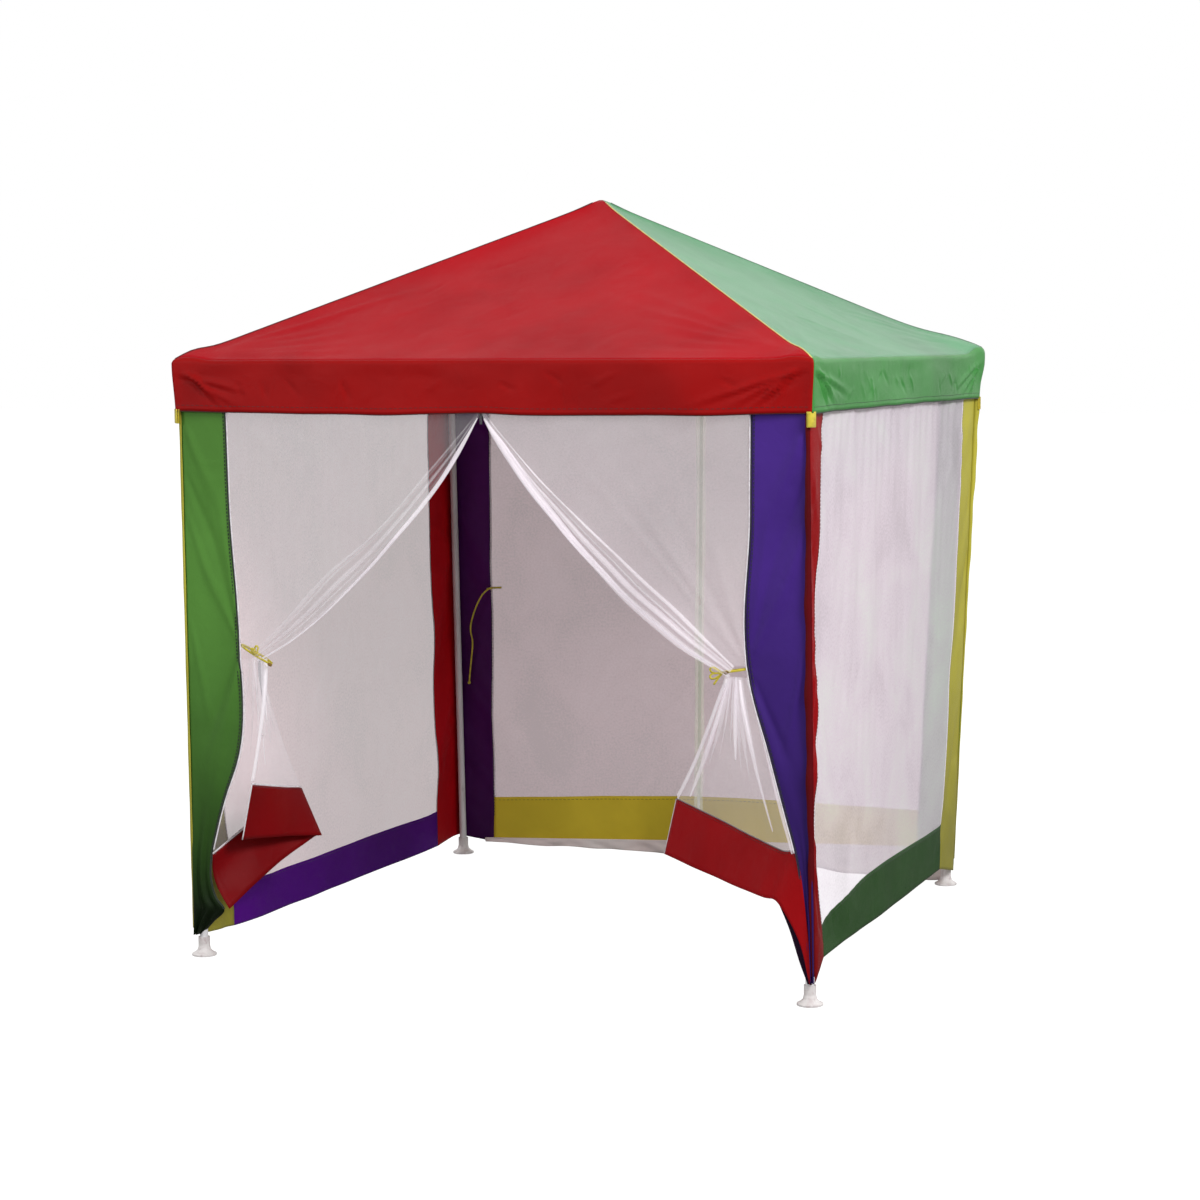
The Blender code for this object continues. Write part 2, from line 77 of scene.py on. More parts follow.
# Measures read from the frame
CANOPY_HALF = cad_high.y
PEAK_HEIGHT = cad_high.z
EAVE_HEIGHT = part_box("valance_front")[1].z + 0.0023
VALANCE_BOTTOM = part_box("valance_front")[0].z
WALL_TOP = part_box("left_wall_net")[1].z
STRIP_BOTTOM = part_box("front_wall_strip_left")[0].z
FEET = {
    mount["name"].replace("foot_rest_", ""): mount["pos_m"][:2]
    for mount in frame["record"]["mounts"]
}

# Where the walls run: from just under the canopy to just past the feet
WALL_HALF = 0.985
WALL_PAST_FOOT = 0.020
STRIP_WIDTH = 0.17

CORNERS = {
    "front_left": (-1, -1),
    "front_right": (1, -1),
    "back_right": (1, 1),
    "back_left": (-1, 1),
}
# Each wall, named with the corner at its left and right as seen from outside
WALLS = {
    "front": ("front_left", "front_right"),
    "right": ("front_right", "back_right"),
    "back": ("back_right", "back_left"),
    "left": ("back_left", "front_left"),
}
OUTWARD = {
    "front": np.array((0.0, -1.0, 0.0)),
    "right": np.array((1.0, 0.0, 0.0)),
    "back": np.array((0.0, 1.0, 0.0)),
    "left": np.array((-1.0, 0.0, 0.0)),
}
# One layer of cloth, a wall's hem and a door's hem band
CLOTH_THICKNESS = 0.0008
HEM_THICKNESS = 0.0012
BAND_THICKNESS = 0.0014
HEM_STITCH = {"pitch": 0.016, "length": 0.010}

CANOPY_COLOUR = {"front": "red", "right": "green", "back": "yellow", "left": "purple"}


# ---------------------------------------------------------------- camera

CAMERA_PLACE = (3.2003, -8.4009, 1.8824)
CAMERA_YAW = math.radians(20.932)
CAMERA_PITCH = math.radians(-5.326)
CAMERA_ROLL = math.radians(-0.314)
CAMERA_LENS = 83.73


def make_camera():
    """The camera, at the photo's viewing angle."""
    data = bpy.data.cameras.new("camera")
    data.lens = CAMERA_LENS
    data.sensor_width = 36.0
    data.clip_end = 200.0
    camera = bpy.data.objects.new("camera", data)
    bpy.context.scene.collection.objects.link(camera)
    ahead = Vector((
        -math.sin(CAMERA_YAW) * math.cos(CAMERA_PITCH),
        math.cos(CAMERA_YAW) * math.cos(CAMERA_PITCH),
        math.sin(CAMERA_PITCH),
    ))
    level = Vector((math.cos(CAMERA_YAW), math.sin(CAMERA_YAW), 0.0))
    upright = level.cross(ahead)
    right = level * math.cos(CAMERA_ROLL) + upright * math.sin(CAMERA_ROLL)
    up = upright * math.cos(CAMERA_ROLL) - level * math.sin(CAMERA_ROLL)
    turn = Matrix((right, up, -ahead)).transposed().to_4x4()
    camera.matrix_world = Matrix.Translation(CAMERA_PLACE) @ turn
    bpy.context.scene.camera = camera


make_camera()


# ---------------------------------------------------------------- curves and grids

FINE_STEPS = 24


def unit(vectors):
    """Vectors of length 1 with the same directions."""
    return vectors / np.maximum(np.linalg.norm(vectors, axis=-1, keepdims=True), 1e-9)


def on_spans(points, count):
    """count values on a smooth curve through points, equally many on each of its spans."""
    padded = np.concatenate([2 * points[:1] - points[1:2], points, 2 * points[-1:] - points[-2:-1]])
    spots = np.linspace(0, len(points) - 1, count)
    i = np.minimum(spots.astype(int), len(points) - 2)
    t = (spots - i).reshape((-1,) + (1,) * (points.ndim - 1))
    a, b, c, d = padded[i], padded[i + 1], padded[i + 2], padded[i + 3]
    return 0.5 * (2 * b + (c - a) * t + (2 * a - 5 * b + 4 * c - d) * t ** 2
                  + (3 * b - a - 3 * c + d) * t ** 3)


def run_along(points):
    """The length of the line through points, up to each of them."""
    return np.concatenate([[0], np.cumsum(np.linalg.norm(np.diff(points, axis=0), axis=1))])


def at_run(points, wanted):
    """The places at the wanted lengths along the line through points."""
    run = run_along(points)
    return np.stack([np.interp(wanted, run, points[:, axis]) for axis in range(points.shape[1])], -1)


def smooth_line(points, count):
    """count points, evenly spaced, on a smooth curve through points."""
    fine = on_spans(np.array(points, float), FINE_STEPS * (len(points) - 1) + 1)
    return at_run(fine, np.linspace(0, run_along(fine)[-1], count))


def smooth_profile(profile, heights):
    """Offsets at heights, on a smooth curve through (height, offset) points."""
    points = np.array(sorted(profile), float)
    h, o = points[:, 0], points[:, 1]
    slope = np.gradient(o, h) if len(h) > 2 else np.full(2, (o[1] - o[0]) / (h[1] - h[0]))
    at = np.clip(heights, h[0], h[-1])
    i = np.clip(np.searchsorted(h, at, side="right") - 1, 0, len(h) - 2)
    span = h[i + 1] - h[i]
    t = (at - h[i]) / span
    return (
        o[i] * (1 + 2 * t) * (1 - t) ** 2
        + slope[i] * span * t * (1 - t) ** 2
        + o[i + 1] * t * t * (3 - 2 * t)
        + slope[i + 1] * span * t * t * (t - 1)
    )


def smoothstep(low, high, value):
    """0 below low, 1 above high, and an S-curve between; low may be the higher one."""
    t = np.clip((value - low) / (high - low), 0, 1)
    return t * t * (3 - 2 * t)


def shares(downs, acrosses):
    """Two grids: how far down and how far across each of its points lies."""
    return np.meshgrid(downs, acrosses, indexing="ij")


def finer(field, times):
    """A grid of values with times as many steps each way, read on smooth curves."""
    for axis in (0, 1):
        field = np.moveaxis(field, axis, 0)
        field = np.moveaxis(on_spans(field, (len(field) - 1) * times + 1), 0, axis)
    return field


def waves(across, height, seed, size, shortest, longest, count=9):
    """Soft random waves of about the given size, as cloth has everywhere."""
    draw = random.Random(seed)
    total = np.zeros_like(across)
    for _ in range(count):
        turn = draw.uniform(0, math.pi)
        number = 2 * math.pi / draw.uniform(shortest, longest)
        phase = draw.uniform(0, 2 * math.pi)
        total += np.sin(number * (math.cos(turn) * across + math.sin(turn) * height) + phase)
    return total * size / math.sqrt(count)


def crease(across, height, start, end, width, depth):
    """A drag fold between two points, which widens and fades towards its end."""
    start, end = np.array(start, float), np.array(end, float)
    length = np.linalg.norm(end - start)
    way = (end - start) / length
    along = ((across - start[0]) * way[0] + (height - start[1]) * way[1]) / length
    aside = -(across - start[0]) * way[1] + (height - start[1]) * way[0]
    spread = width * (0.55 + 0.9 * np.clip(along, 0, 1))
    fade = smoothstep(-0.12, 0.18, along) * (1 - smoothstep(0.45, 1.05, along))
    return depth * fade * np.exp(-(aside / spread) ** 2)


# ---------------------------------------------------------------- the walls' places

def corner_at(corner, height):
    """Where two walls meet, at heights: the cloth hangs from the canopy to the foot."""
    side, depth = CORNERS[corner]
    x, y = FEET[corner]
    share = np.asarray(height, float)[..., None] / WALL_TOP
    low = np.array((x + side * WALL_PAST_FOOT, y + depth * WALL_PAST_FOOT))
    high = np.array((side * WALL_HALF, depth * WALL_HALF))
    return low + (high - low) * share


def wall_points(wall, anchor, offset, height):
    """Points of a wall: anchor -1, 0 or 1 is its left corner, centre or right corner."""
    height = np.asarray(height, float)
    left, right = (corner_at(corner, height) for corner in WALLS[wall])
    half = (right - left) / 2
    place = (left + right) / 2 + half * anchor + unit(half) * np.asarray(offset, float)[..., None]
    return np.concatenate([place, height[..., None]], axis=-1)


# ---------------------------------------------------------------- making pieces

def new_piece(name, vertices, faces, look, uvs=None, smooth=True):
    """A mesh object with one material."""
    mesh = bpy.data.meshes.new(name)
    mesh.from_pydata([tuple(v) for v in vertices], [], [tuple(int(i) for i in f) for f in faces])
    if uvs is not None:
        layer = mesh.uv_layers.new(name="UVMap")
        ids = np.zeros(len(mesh.loops), np.int32)
        mesh.loops.foreach_get("vertex_index", ids)
        layer.data.foreach_set("uv", np.asarray(uvs, np.float32)[ids].ravel())
    mesh.polygons.foreach_set("use_smooth", [smooth] * len(mesh.polygons))
    mesh.materials.append(look)
    made = bpy.data.objects.new(name, mesh)
    bpy.context.scene.collection.objects.link(made)
    return made


def grid_faces(rows, columns, flip=False, start=0):
    """The faces of a grid of vertices that are numbered row by row from start."""
    row, column = np.meshgrid(np.arange(rows - 1), np.arange(columns - 1), indexing="ij")
    first = (start + row * columns + column).ravel()
    faces = np.stack([first, first + columns, first + columns + 1, first + 1], 1)
    return faces[:, ::-1] if flip else faces


def grid_uvs(points):
    """Places in the cloth in metres: along each row, and down the middle column."""
    across = np.linalg.norm(np.diff(points, axis=1), axis=2)
    across = np.concatenate([np.zeros((len(points), 1)), np.cumsum(across, axis=1)], axis=1)
    down = run_along(points[:, points.shape[1] // 2])
    return np.stack([across, np.broadcast_to(-down[:, None], across.shape)], 2).reshape(-1, 2)


def settle_piece(made, body, replaces):
    """Lets a piece ride on a body, if one is given, and replace CAD nodes."""
    if body:
        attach(made, body)
    if replaces:
        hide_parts(*replaces)
    return made


def cloth_piece(name, points, look, replaces=(), body=ROOT, thickness=0.0, flip=False):
    """A sheet through a grid of points, rows from the top down."""
    rows, columns = points.shape[:2]
    faces = grid_faces(rows, columns, flip)
    made = new_piece(name, points.reshape(-1, 3), faces, look, grid_uvs(points))
    if thickness:
        solidify = made.modifiers.new("Thickness", "SOLIDIFY")
        solidify.thickness = thickness
        solidify.offset = 0
    return settle_piece(made, body, replaces)


def tube_faces(rings, sides, turned=False):
    """The side faces of a tube whose rings of vertices follow each other."""
    faces = []
    for a in range((rings - 1) * sides):
        b = a + 1 if (a + 1) % sides else a + 1 - sides
        faces.append((a, a + sides, b + sides, b) if turned else (a, b, b + sides, a + sides))
    return faces


def tube_parts(points, radius, sides=8):
    """Vertices and faces of a closed tube along points; radius may vary along it."""
    points = np.asarray(points, float)
    radius = np.broadcast_to(np.asarray(radius, float), len(points))
    along = unit(np.gradient(points, axis=0))
    guide = np.array((0.0, 0.0, 1.0)) if abs(along[0][2]) < 0.9 else np.array((1.0, 0.0, 0.0))
    vertices = []
    for place, way, size in zip(points, along, radius):
        guide = unit(guide - way * (guide @ way))
        second = np.cross(way, guide)
        for turn in np.linspace(0, 2 * math.pi, sides, endpoint=False):
            vertices.append(place + (guide * math.cos(turn) + second * math.sin(turn)) * size)
    last = (len(points) - 1) * sides
    ends = [tuple(range(sides))[::-1], tuple(range(last, last + sides))]
    return vertices, tube_faces(len(points), sides) + ends


def ribbon_parts(points, facing, width, thickness=0.001):
    """Vertices and faces of a flat tape along points; facing is where its flat side looks."""
    points = np.asarray(points, float)
    facing = np.broadcast_to(np.asarray(facing, float), points.shape)
    width = np.broadcast_to(np.asarray(width, float), len(points))
    along = unit(np.gradient(points, axis=0))
    out = unit(facing - along * np.sum(facing * along, axis=1, keepdims=True))
    aside = np.cross(along, out) * width[:, None] / 2
    lift = out * thickness / 2
    rings = np.stack([points - aside + lift, points + aside + lift,
                      points + aside - lift, points - aside - lift], 1)
    last = (len(points) - 1) * 4
    ends = [(0, 1, 2, 3), (last + 3, last + 2, last + 1, last)]
    return list(rings.reshape(-1, 3)), tube_faces(len(points), 4, turned=True) + ends


def joined(parts):
    """Several (vertices, faces) as one."""
    vertices, faces = [], []
    for more_vertices, more_faces in parts:
        start = len(vertices)
        vertices += list(more_vertices)
        faces += [tuple(start + i for i in face) for face in more_faces]
    return vertices, faces


def part_piece(name, parts, look, body=ROOT, smooth=True, replaces=()):
    """One piece made of several (vertices, faces)."""
    vertices, faces = joined(parts)
    return settle_piece(new_piece(name, vertices, faces, look, smooth=smooth), body, replaces)


def tape_piece(name, points, facing, width, thickness, look, body=ROOT):
    """A flat tape along points, as a piece of its own."""
    return part_piece(name, [ribbon_parts(points, facing, width, thickness)], look, body)


def stitch_line(name, points, facing, look, slot, pitch=0.011, length=0.007, lift=0.0009,
                wide=0.0016, body=ROOT):
    """A row of separate stitches along points, proud of the cloth on both of its sides."""
    points = np.asarray(points, float)
    starts = np.arange(pitch / 2, run_along(points)[-1] - length, pitch)
    stitches = at_run(points, starts[:, None] + np.array((0, 0.5, 1)) * length)
    parts = [ribbon_parts(stitch, facing, wide, 2 * lift) for stitch in stitches]
    return part_piece(name, parts, look, body=body, smooth=False)


# ---------------------------------------------------------------- materials

def linear(red, green, blue):
    """A linear colour from 8-bit sRGB values."""
    def channel(value):
        value /= 255
        return value / 12.92 if value <= 0.04045 else ((value + 0.055) / 1.055) ** 2.4
    return (channel(red), channel(green), channel(blue), 1.0)


def shade(colour, factor):
    """A colour made darker or brighter by a factor."""
    return tuple(min(1.0, channel * factor) for channel in colour[:3]) + (1.0,)


class Look:
    """A node material, with short calls for the nodes that the finishes share."""

    def __init__(self, name):
        self.material = bpy.data.materials.new(name)
        self.material.use_nodes = True
        self.nodes = self.material.node_tree.nodes
        self.links = self.material.node_tree.links
        self.shader = self.nodes["Principled BSDF"]
        self.bumped = None

    def set(self, **values):
        for name, value in values.items():
            self.shader.inputs[name.replace("_", " ")].default_value = value

    def node(self, kind, **values):
        made = self.nodes.new(kind)
        for name, value in values.items():
            made.inputs[name.replace("_", " ")].default_value = value
        return made

    def link(self, source, target):
        self.links.new(source, target)

    def place(self, from_uv=False, scale=(1, 1, 1)):
        source = self.nodes.new("ShaderNodeTexCoord")
        mapping = self.nodes.new("ShaderNodeMapping")
        mapping.inputs["Scale"].default_value = scale
        self.link(source.outputs["UV" if from_uv else "Object"], mapping.inputs["Vector"])
        return mapping.outputs["Vector"]

    def noise(self, vector, scale, detail=3.0, distortion=0.0):
        made = self.node("ShaderNodeTexNoise", Scale=scale, Detail=detail, Distortion=distortion)
        self.link(vector, made.inputs["Vector"])
        return made.outputs["Fac"]

    def wave(self, vector, scale, direction):
        made = self.node("ShaderNodeTexWave", Scale=scale, Distortion=0.0)
        made.bands_direction = direction
        self.link(vector, made.inputs["Vector"])
        return made.outputs["Fac"]

    def ramp(self, value, stops):
        made = self.nodes.new("ShaderNodeValToRGB")
        elements = made.color_ramp.elements
        while len(elements) < len(stops):
            elements.new(0.5)
        for element, (position, colour) in zip(elements, stops):
            element.position = position
            element.color = colour
        self.link(value, made.inputs["Fac"])
        return made.outputs["Color"]

    def dye(self, value, *stops):
        """Colours the surface by a value, through a ramp of (position, colour) stops."""
        self.link(self.ramp(value, stops), self.shader.inputs["Base Color"])

    def between(self, value, low, high):
        made = self.node("ShaderNodeMapRange", To_Min=low, To_Max=high)
        self.link(value, made.inputs["Value"])
        return made.outputs["Result"]

    def roughen(self, value, low, high):
        self.link(self.between(value, low, high), self.shader.inputs["Roughness"])

    def maths(self, operation, first, second):
        made = self.nodes.new("ShaderNodeMath")
        made.operation = operation
        for value, socket in ((first, made.inputs[0]), (second, made.inputs[1])):
            if isinstance(value, (int, float)):
                socket.default_value = value
            else:
                self.link(value, socket)
        return made.outputs["Value"]

    def darker_low(self, place, colour, low, from_height, full_height):
        """Multiplies a colour by low up to from_height, and by 1 from full_height on."""
        split = self.nodes.new("ShaderNodeSeparateXYZ")
        self.link(place, split.inputs["Vector"])
        factor = self.node("ShaderNodeMapRange", From_Min=from_height, From_Max=full_height,
                           To_Min=low)
        self.link(split.outputs["Z"], factor.inputs["Value"])
        mixed = self.nodes.new("ShaderNodeVectorMath")
        mixed.operation = "SCALE"
        self.link(colour, mixed.inputs[0])
        self.link(factor.outputs["Result"], mixed.inputs["Scale"])
        return mixed.outputs["Vector"]

    def bump(self, height, distance, strength=1.0):
        """Adds relief of the given depth in metres on top of what is there already."""
        made = self.node("ShaderNodeBump", Strength=strength, Distance=distance)
        self.link(height, made.inputs["Height"])
        if self.bumped is not None:
            self.link(self.bumped, made.inputs["Normal"])
        self.bumped = made.outputs["Normal"]
        self.link(self.bumped, self.shader.inputs["Normal"])


def polyester(name, colour, sheen=0.04, roughness=0.46, gloss=0.10, soiled=None):
    """Satin woven polyester: fine weave, soft crumples, fading, and painted shade that darkens it low
    on a wall.
    """
    look = Look(name)
    cloth = look.place()
    woven = look.place(from_uv=True)
    patches = look.noise(cloth, 2.6, 4.0, 0.4)
    dye_and_painted_shade = look.ramp(patches, [(0.28, shade(colour, 0.80)), (0.52, colour),
                               (0.78, shade(colour, 1.16))])
    # Painted shade: the colour is darkened towards the bottom of the wall
    if soiled:
        dye_and_painted_shade = look.darker_low(cloth, dye_and_painted_shade, *soiled)
    look.link(dye_and_painted_shade, look.shader.inputs["Base Color"])
    look.roughen(look.noise(cloth, 9.0, 3.0), roughness - 0.08, roughness + 0.08)
    look.set(Sheen_Weight=sheen, Sheen_Roughness=0.3, Specular_IOR_Level=gloss)
    look.shader.inputs["Sheen Tint"].default_value = tuple(0.5 + 0.5 * c for c in colour[:3]) + (1,)
    crumples = look.noise(cloth, 11.0, 4.0, 1.1)
    look.bump(crumples, 0.004, 0.55)
    warp = look.wave(woven, 420.0, "X")
    weft = look.wave(woven, 420.0, "Y")
    look.bump(look.maths("MULTIPLY", warp, weft), 0.0002, 0.5)
    return look.material


def netting(name, colour, alpha, painted_glow=0.0, soiled=None):
    """Fine mosquito net with threads a millimetre apart. alpha is what the threads cover, and the
    emission is a painted glow for the light that they pass on from behind, which keeps gathered net
    white."""
    look = Look(name)
    cloth = look.place()
    woven = look.place(from_uv=True)
    cloudy = look.noise(cloth, 3.4, 5.0, 0.5)
    grain = look.noise(woven, 130.0, 2.0)
    tone = look.maths("ADD", look.maths("MULTIPLY", cloudy, 0.62),
                      look.maths("MULTIPLY", grain, 0.38))
    dye_and_painted_shade = look.ramp(tone, [(0.36, shade(colour, 0.82)), (0.5, colour), (0.66, shade(colour, 1.15))])
    # Painted shade: the net's colour is darkened towards the bottom of the wall
    if soiled:
        dye_and_painted_shade = look.darker_low(cloth, dye_and_painted_shade, *soiled)
    look.link(dye_and_painted_shade, look.shader.inputs["Base Color"])
    # Painted light: the net glows in its own colour, for light passed on from behind
    look.set(Roughness=0.85, Alpha=alpha, Sheen_Weight=0.1, Sheen_Roughness=0.5,
             Specular_IOR_Level=0.2, Emission_Strength=painted_glow)
    look.shader.inputs["Emission Color"].default_value = colour
    threads = look.maths("MAXIMUM", look.wave(woven, 260.0, "X"), look.wave(woven, 260.0, "Y"))
    look.bump(threads, 0.0004, 0.6)
    look.bump(look.noise(cloth, 14.0, 3.0, 0.8), 0.003, 0.35)
    return look.material


def webbing(name, colour):
    """Woven tape with ribs across it."""
    look = Look(name)
    cloth = look.place()
    look.dye(look.noise(cloth, 60.0, 3.0), (0.3, shade(colour, 0.78)), (0.5, colour),
             (0.72, shade(colour, 1.15)))
    look.set(Roughness=0.72, Sheen_Weight=0.25, Sheen_Roughness=0.5, Specular_IOR_Level=0.35)
    ribs = look.maths("MULTIPLY", look.wave(cloth, 300.0, "Z"), look.wave(cloth, 300.0, "DIAGONAL"))
    look.bump(ribs, 0.0004, 0.7)
    return look.material


def hard_finish(name, stain, tones, roughness, grain, relief, squeeze=1.0, **values):
    """A hard surface, stained in three tones, shinier where it is pale, with a fine grain.

    stain and grain are the scale, detail and distortion of their noise. relief is the grain's
    depth and strength, and squeeze stretches the stains upwards when it is below 1.
    """
    look = Look(name)
    stains = look.noise(look.place(scale=(1, 1, squeeze)), *stain)
    look.dye(stains, *tones)
    look.roughen(stains, *roughness)
    look.set(**values)
    look.bump(look.noise(look.place(), *grain), *relief)
    return look.material


def zip_coil():
    """Nylon coil: teeth 2.5 mm apart down the middle of a woven tape."""
    look = Look("zip_coil_finish")
    teeth = look.wave(look.place(), 200.0, "Z")
    look.dye(teeth, (0.2, linear(196, 188, 188)), (0.6, linear(244, 236, 238)))
    look.set(Roughness=0.5, Specular_IOR_Level=0.45)
    look.bump(teeth, 0.0006, 0.8)
    return look.material


def dyed_looks(place, options, **colours):
    """A polyester for each colour: its red, green and blue, then options of its own."""
    return {
        name: polyester(f"{place}_{name}", linear(*colour[:3]), **{**options, **dict(colour[3:])})
        for name, colour in colours.items()
    }


PURPLE = (71, 40, 133)
YELLOW = (188, 180, 70)
# The roof lies nearly flat; its red and green are paler copies of the hanging cloth of the same bolt,
# painted light from above and painted sheen
ROOF_LOOKS = dyed_looks(
    "roof", {"roughness": 0.50}, red=(173, 13, 25),
    green=(92, 162, 112, ("sheen", 0.60), ("roughness", 0.34), ("gloss", 0.35)),
    purple=PURPLE, yellow=YELLOW,
)
VALANCE_LOOKS = dyed_looks(
    "valance", {}, red=(158, 9, 9, ("sheen", 0.02)),
    green=(68, 145, 68, ("roughness", 0.34), ("gloss", 0.20)), purple=PURPLE, yellow=YELLOW,
)
# Painted shade low on the cloth: the factor on the colour low down, and the heights where it starts
# and ends to fade
STRIP_LOOKS = dyed_looks(
    "strip", {}, red=(150, 8, 14, ("soiled", (0.55, 0.06, 0.80))),
    green=(87, 139, 58, ("soiled", (0.03, 0.15, 0.95))),
    purple=(*PURPLE, ("soiled", (0.40, 0.15, 1.30))),
    yellow=(*YELLOW, ("soiled", (0.62, 0.06, 0.90))),
)
# Painted shade: the green hem, on the right wall that the key lamp lights, is far darker than the
# green strips
HEM_LOOKS = dyed_looks(
    "hem", {"sheen": 0.02}, red=(125, 3, 9), green=(32, 68, 22), purple=(84, 8, 134),
    yellow=(222, 198, 58),
)
# The back corners' strips are seen from inside; their copies of the strips' cloth are painted light
# and shade: red and green brighter than the front ones, purple darker, and less darkening low down
BACK_STRIP_LOOKS = dyed_looks(
    "strip_back", {}, green=(100, 172, 78, ("soiled", (0.60, 0.06, 0.70))),
    red=(220, 12, 28, ("soiled", (0.62, 0.06, 0.70))),
    purple=(84, 17, 98, ("soiled", (0.50, 0.06, 1.40))),
)
BACK_STRIP_LOOKS["yellow"] = STRIP_LOOKS["yellow"]
# Painted light: the right door's hem is a brighter copy of the same red as the left one's
DOOR_HEM_LOOKS = {
    "left": HEM_LOOKS["red"],
    "right": polyester("hem_red_bright", linear(164, 6, 14), sheen=0.02),
}
SKIRT = polyester("ground_cloth_white", linear(250, 236, 232))
NET_WHITE = linear(254, 247, 253)
# Copies of one net, as painted shade and light: the left and back walls' nets, seen in shade, are
# pinker with more cover and darker low down, the right wall's is whiter, and the doors' nets and
# tapes get a painted glow
NETS = {
    "door_left": netting("net_door_left", NET_WHITE, 0.12, painted_glow=0.24),
    "door_right": netting("net_door_right", NET_WHITE, 0.21, painted_glow=0.32),
    "folds": netting("net_folds", NET_WHITE, 0.34, painted_glow=0.30),
    "tape": netting("net_tape", NET_WHITE, 0.50, painted_glow=0.20),
    "left": netting("net_left", linear(250, 200, 211), 0.66, soiled=(0.72, 0.20, 1.40)),
    "back": netting("net_back", linear(245, 200, 211), 0.80, soiled=(0.72, 0.20, 1.50)),
    "right": netting("net_right", linear(252, 240, 252), 0.60),
    "zip": netting("zip_tape_grey", linear(240, 246, 226), 0.24, painted_glow=0.22),
}
SELVEDGE = webbing("selvedge_white", linear(248, 240, 246))
TAPE = webbing("tape_yellow", linear(214, 196, 60))
PIPING = webbing("piping_cream", linear(226, 214, 128))
THREADS = {
    "red": webbing("thread_red", linear(84, 8, 14)),
    "green": webbing("thread_green", linear(24, 40, 22)),
    "purple": webbing("thread_purple", linear(24, 12, 50)),
    "yellow": webbing("thread_yellow", linear(120, 112, 44)),
}
# Painted shade: the front left hip's piping is the dark red thread, for the seam's shade; the others
# are cream and grey-green
HIP_LOOKS = {
    "front_left": (THREADS["red"], "red_polyester"),
    "front_right": (PIPING, "yellow_tape"),
    "back_right": (webbing("thread_grey_green", linear(104, 132, 112)), "green_polyester"),
    "back_left": (PIPING, "yellow_tape"),
}
# Painted shade: near-black purple for the inner fold of the front right strip
TUCK = polyester("tuck_dark", linear(30, 6, 32), sheen=0.0)
KNOT = webbing("knot_brown", linear(128, 96, 34))
HARD_LOOKS = {
    # Powder coat: a fine orange peel, with scuffs that show a greyer coat
    "white_steel": hard_finish(
        "powder_coat_white", (26.0, 6.0, 0.6),
        ((0.30, linear(196, 192, 194)), (0.42, linear(228, 226, 228)), (0.80, linear(238, 236, 238))),
        (0.46, 0.28), (620.0, 2.0), (0.0002, 0.5), squeeze=0.25, Coat_Weight=0.25, Coat_Roughness=0.2,
    ),
    # Moulded plastic: spark-eroded grain and a little grime
    "white_plastic": hard_finish(
        "moulded_white", (34.0, 5.0, 0.7),
        ((0.30, linear(196, 182, 182)), (0.48, linear(226, 220, 219)), (0.75, linear(236, 232, 230))),
        (0.5, 0.34), (900.0, 2.0), (0.00015, 0.6), Specular_IOR_Level=0.5,
    ),
    "zip_coil": zip_coil(),
    # Dark painted die casting, worn bright in places
    "zip_metal": hard_finish(
        "zip_metal_finish", (300.0, 4.0, 0.5),
        ((0.35, linear(46, 43, 48)), (0.62, linear(74, 70, 76)), (0.80, linear(128, 124, 126))),
        (0.42, 0.28), (300.0, 4.0, 0.5), (0.0001, 0.5), Metallic=0.6,
    ),
}


def dress_frame():
    """Gives the frame's own hard parts their finishes."""
    slot_of = {part["node"]: part["material_slot"] for part in frame["record"]["subparts"]}
    for name, node in frame["nodes"].items():
        if slot_of[name] in HARD_LOOKS:
            node.data.materials.clear()
            node.data.materials.append(HARD_LOOKS[slot_of[name]])


dress_frame()


# ---------------------------------------------------------------- the back door's loose tie

# The route of the cord's solid: out of the strip's seam, then down past the leg
CORD_ROUTE = [
    (-0.812, 0.9640, 0.978), (-0.814, 0.9560, 0.977), (-0.822, 0.9500, 0.971),
    (-0.838, 0.9455, 0.953), (-0.856, 0.9435, 0.920), (-0.872, 0.9430, 0.880),
    (-0.882, 0.9430, 0.842), (-0.882, 0.9430, 0.815), (-0.876, 0.9430, 0.790),
    (-0.876, 0.9430, 0.760), (-0.881, 0.9425, 0.715), (-0.886, 0.9420, 0.670),
    (-0.890, 0.9415, 0.626),
]
CORD_SEWN_END = [(-0.824, 0.9600, 0.976), (-0.800, 0.9585, 0.981), (-0.766, 0.9600, 0.983)]
CORD_POINTS = 38
CORD_DIAMETER = 0.006


def make_loose_tie():
    """A yellow cord, sewn to the back wall's left strip and knotted at its free end."""
    points = smooth_line(CORD_ROUTE, CORD_POINTS)
    data = bpy.data.curves.new("back_tie_loose", "CURVE")
    data.dimensions = "3D"
    data.bevel_depth = CORD_DIAMETER / 2
    data.bevel_resolution = 3
    data.use_fill_caps = True
    spline = data.splines.new("POLY")
    spline.points.add(CORD_POINTS - 1)
    for target, point in zip(spline.points, points):
        target.co = (*point, 1.0)
    data.materials.append(TAPE)
    tie = bpy.data.objects.new("back_tie_loose", data)
    bpy.context.scene.collection.objects.link(tie)
    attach(tie, ROOT)
    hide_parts("back_tie_cord")

    end, way = points[-1], unit(points[-1] - points[-2])
    ball = np.linspace(0, math.pi, 11)
    swell = 0.0012 + 0.0042 * np.sin(ball) * (1 + 0.18 * np.cos(3 * ball))
    line = end - np.outer(0.006 + 0.007 * np.cos(ball), way)
    knot = part_piece("back_tie_end_knot", [tube_parts(line, swell, 10)], TAPE)
    sewn = smooth_line(CORD_SEWN_END, 12)
    tape_piece("back_tie_sewn_end", sewn, (0.2, -1.0, 0.3), 0.0065, 0.0014, TAPE)


make_loose_tie()


# ---------------------------------------------------------------- light and floor

WORLD_LIGHT = 0.58
KEY_POWER = 530.0
FILL_POWER = 170.0
FLOOR_GREY = 0.30
FLOOR_REACH = 60.0
LIGHT_SIZE = 3.0


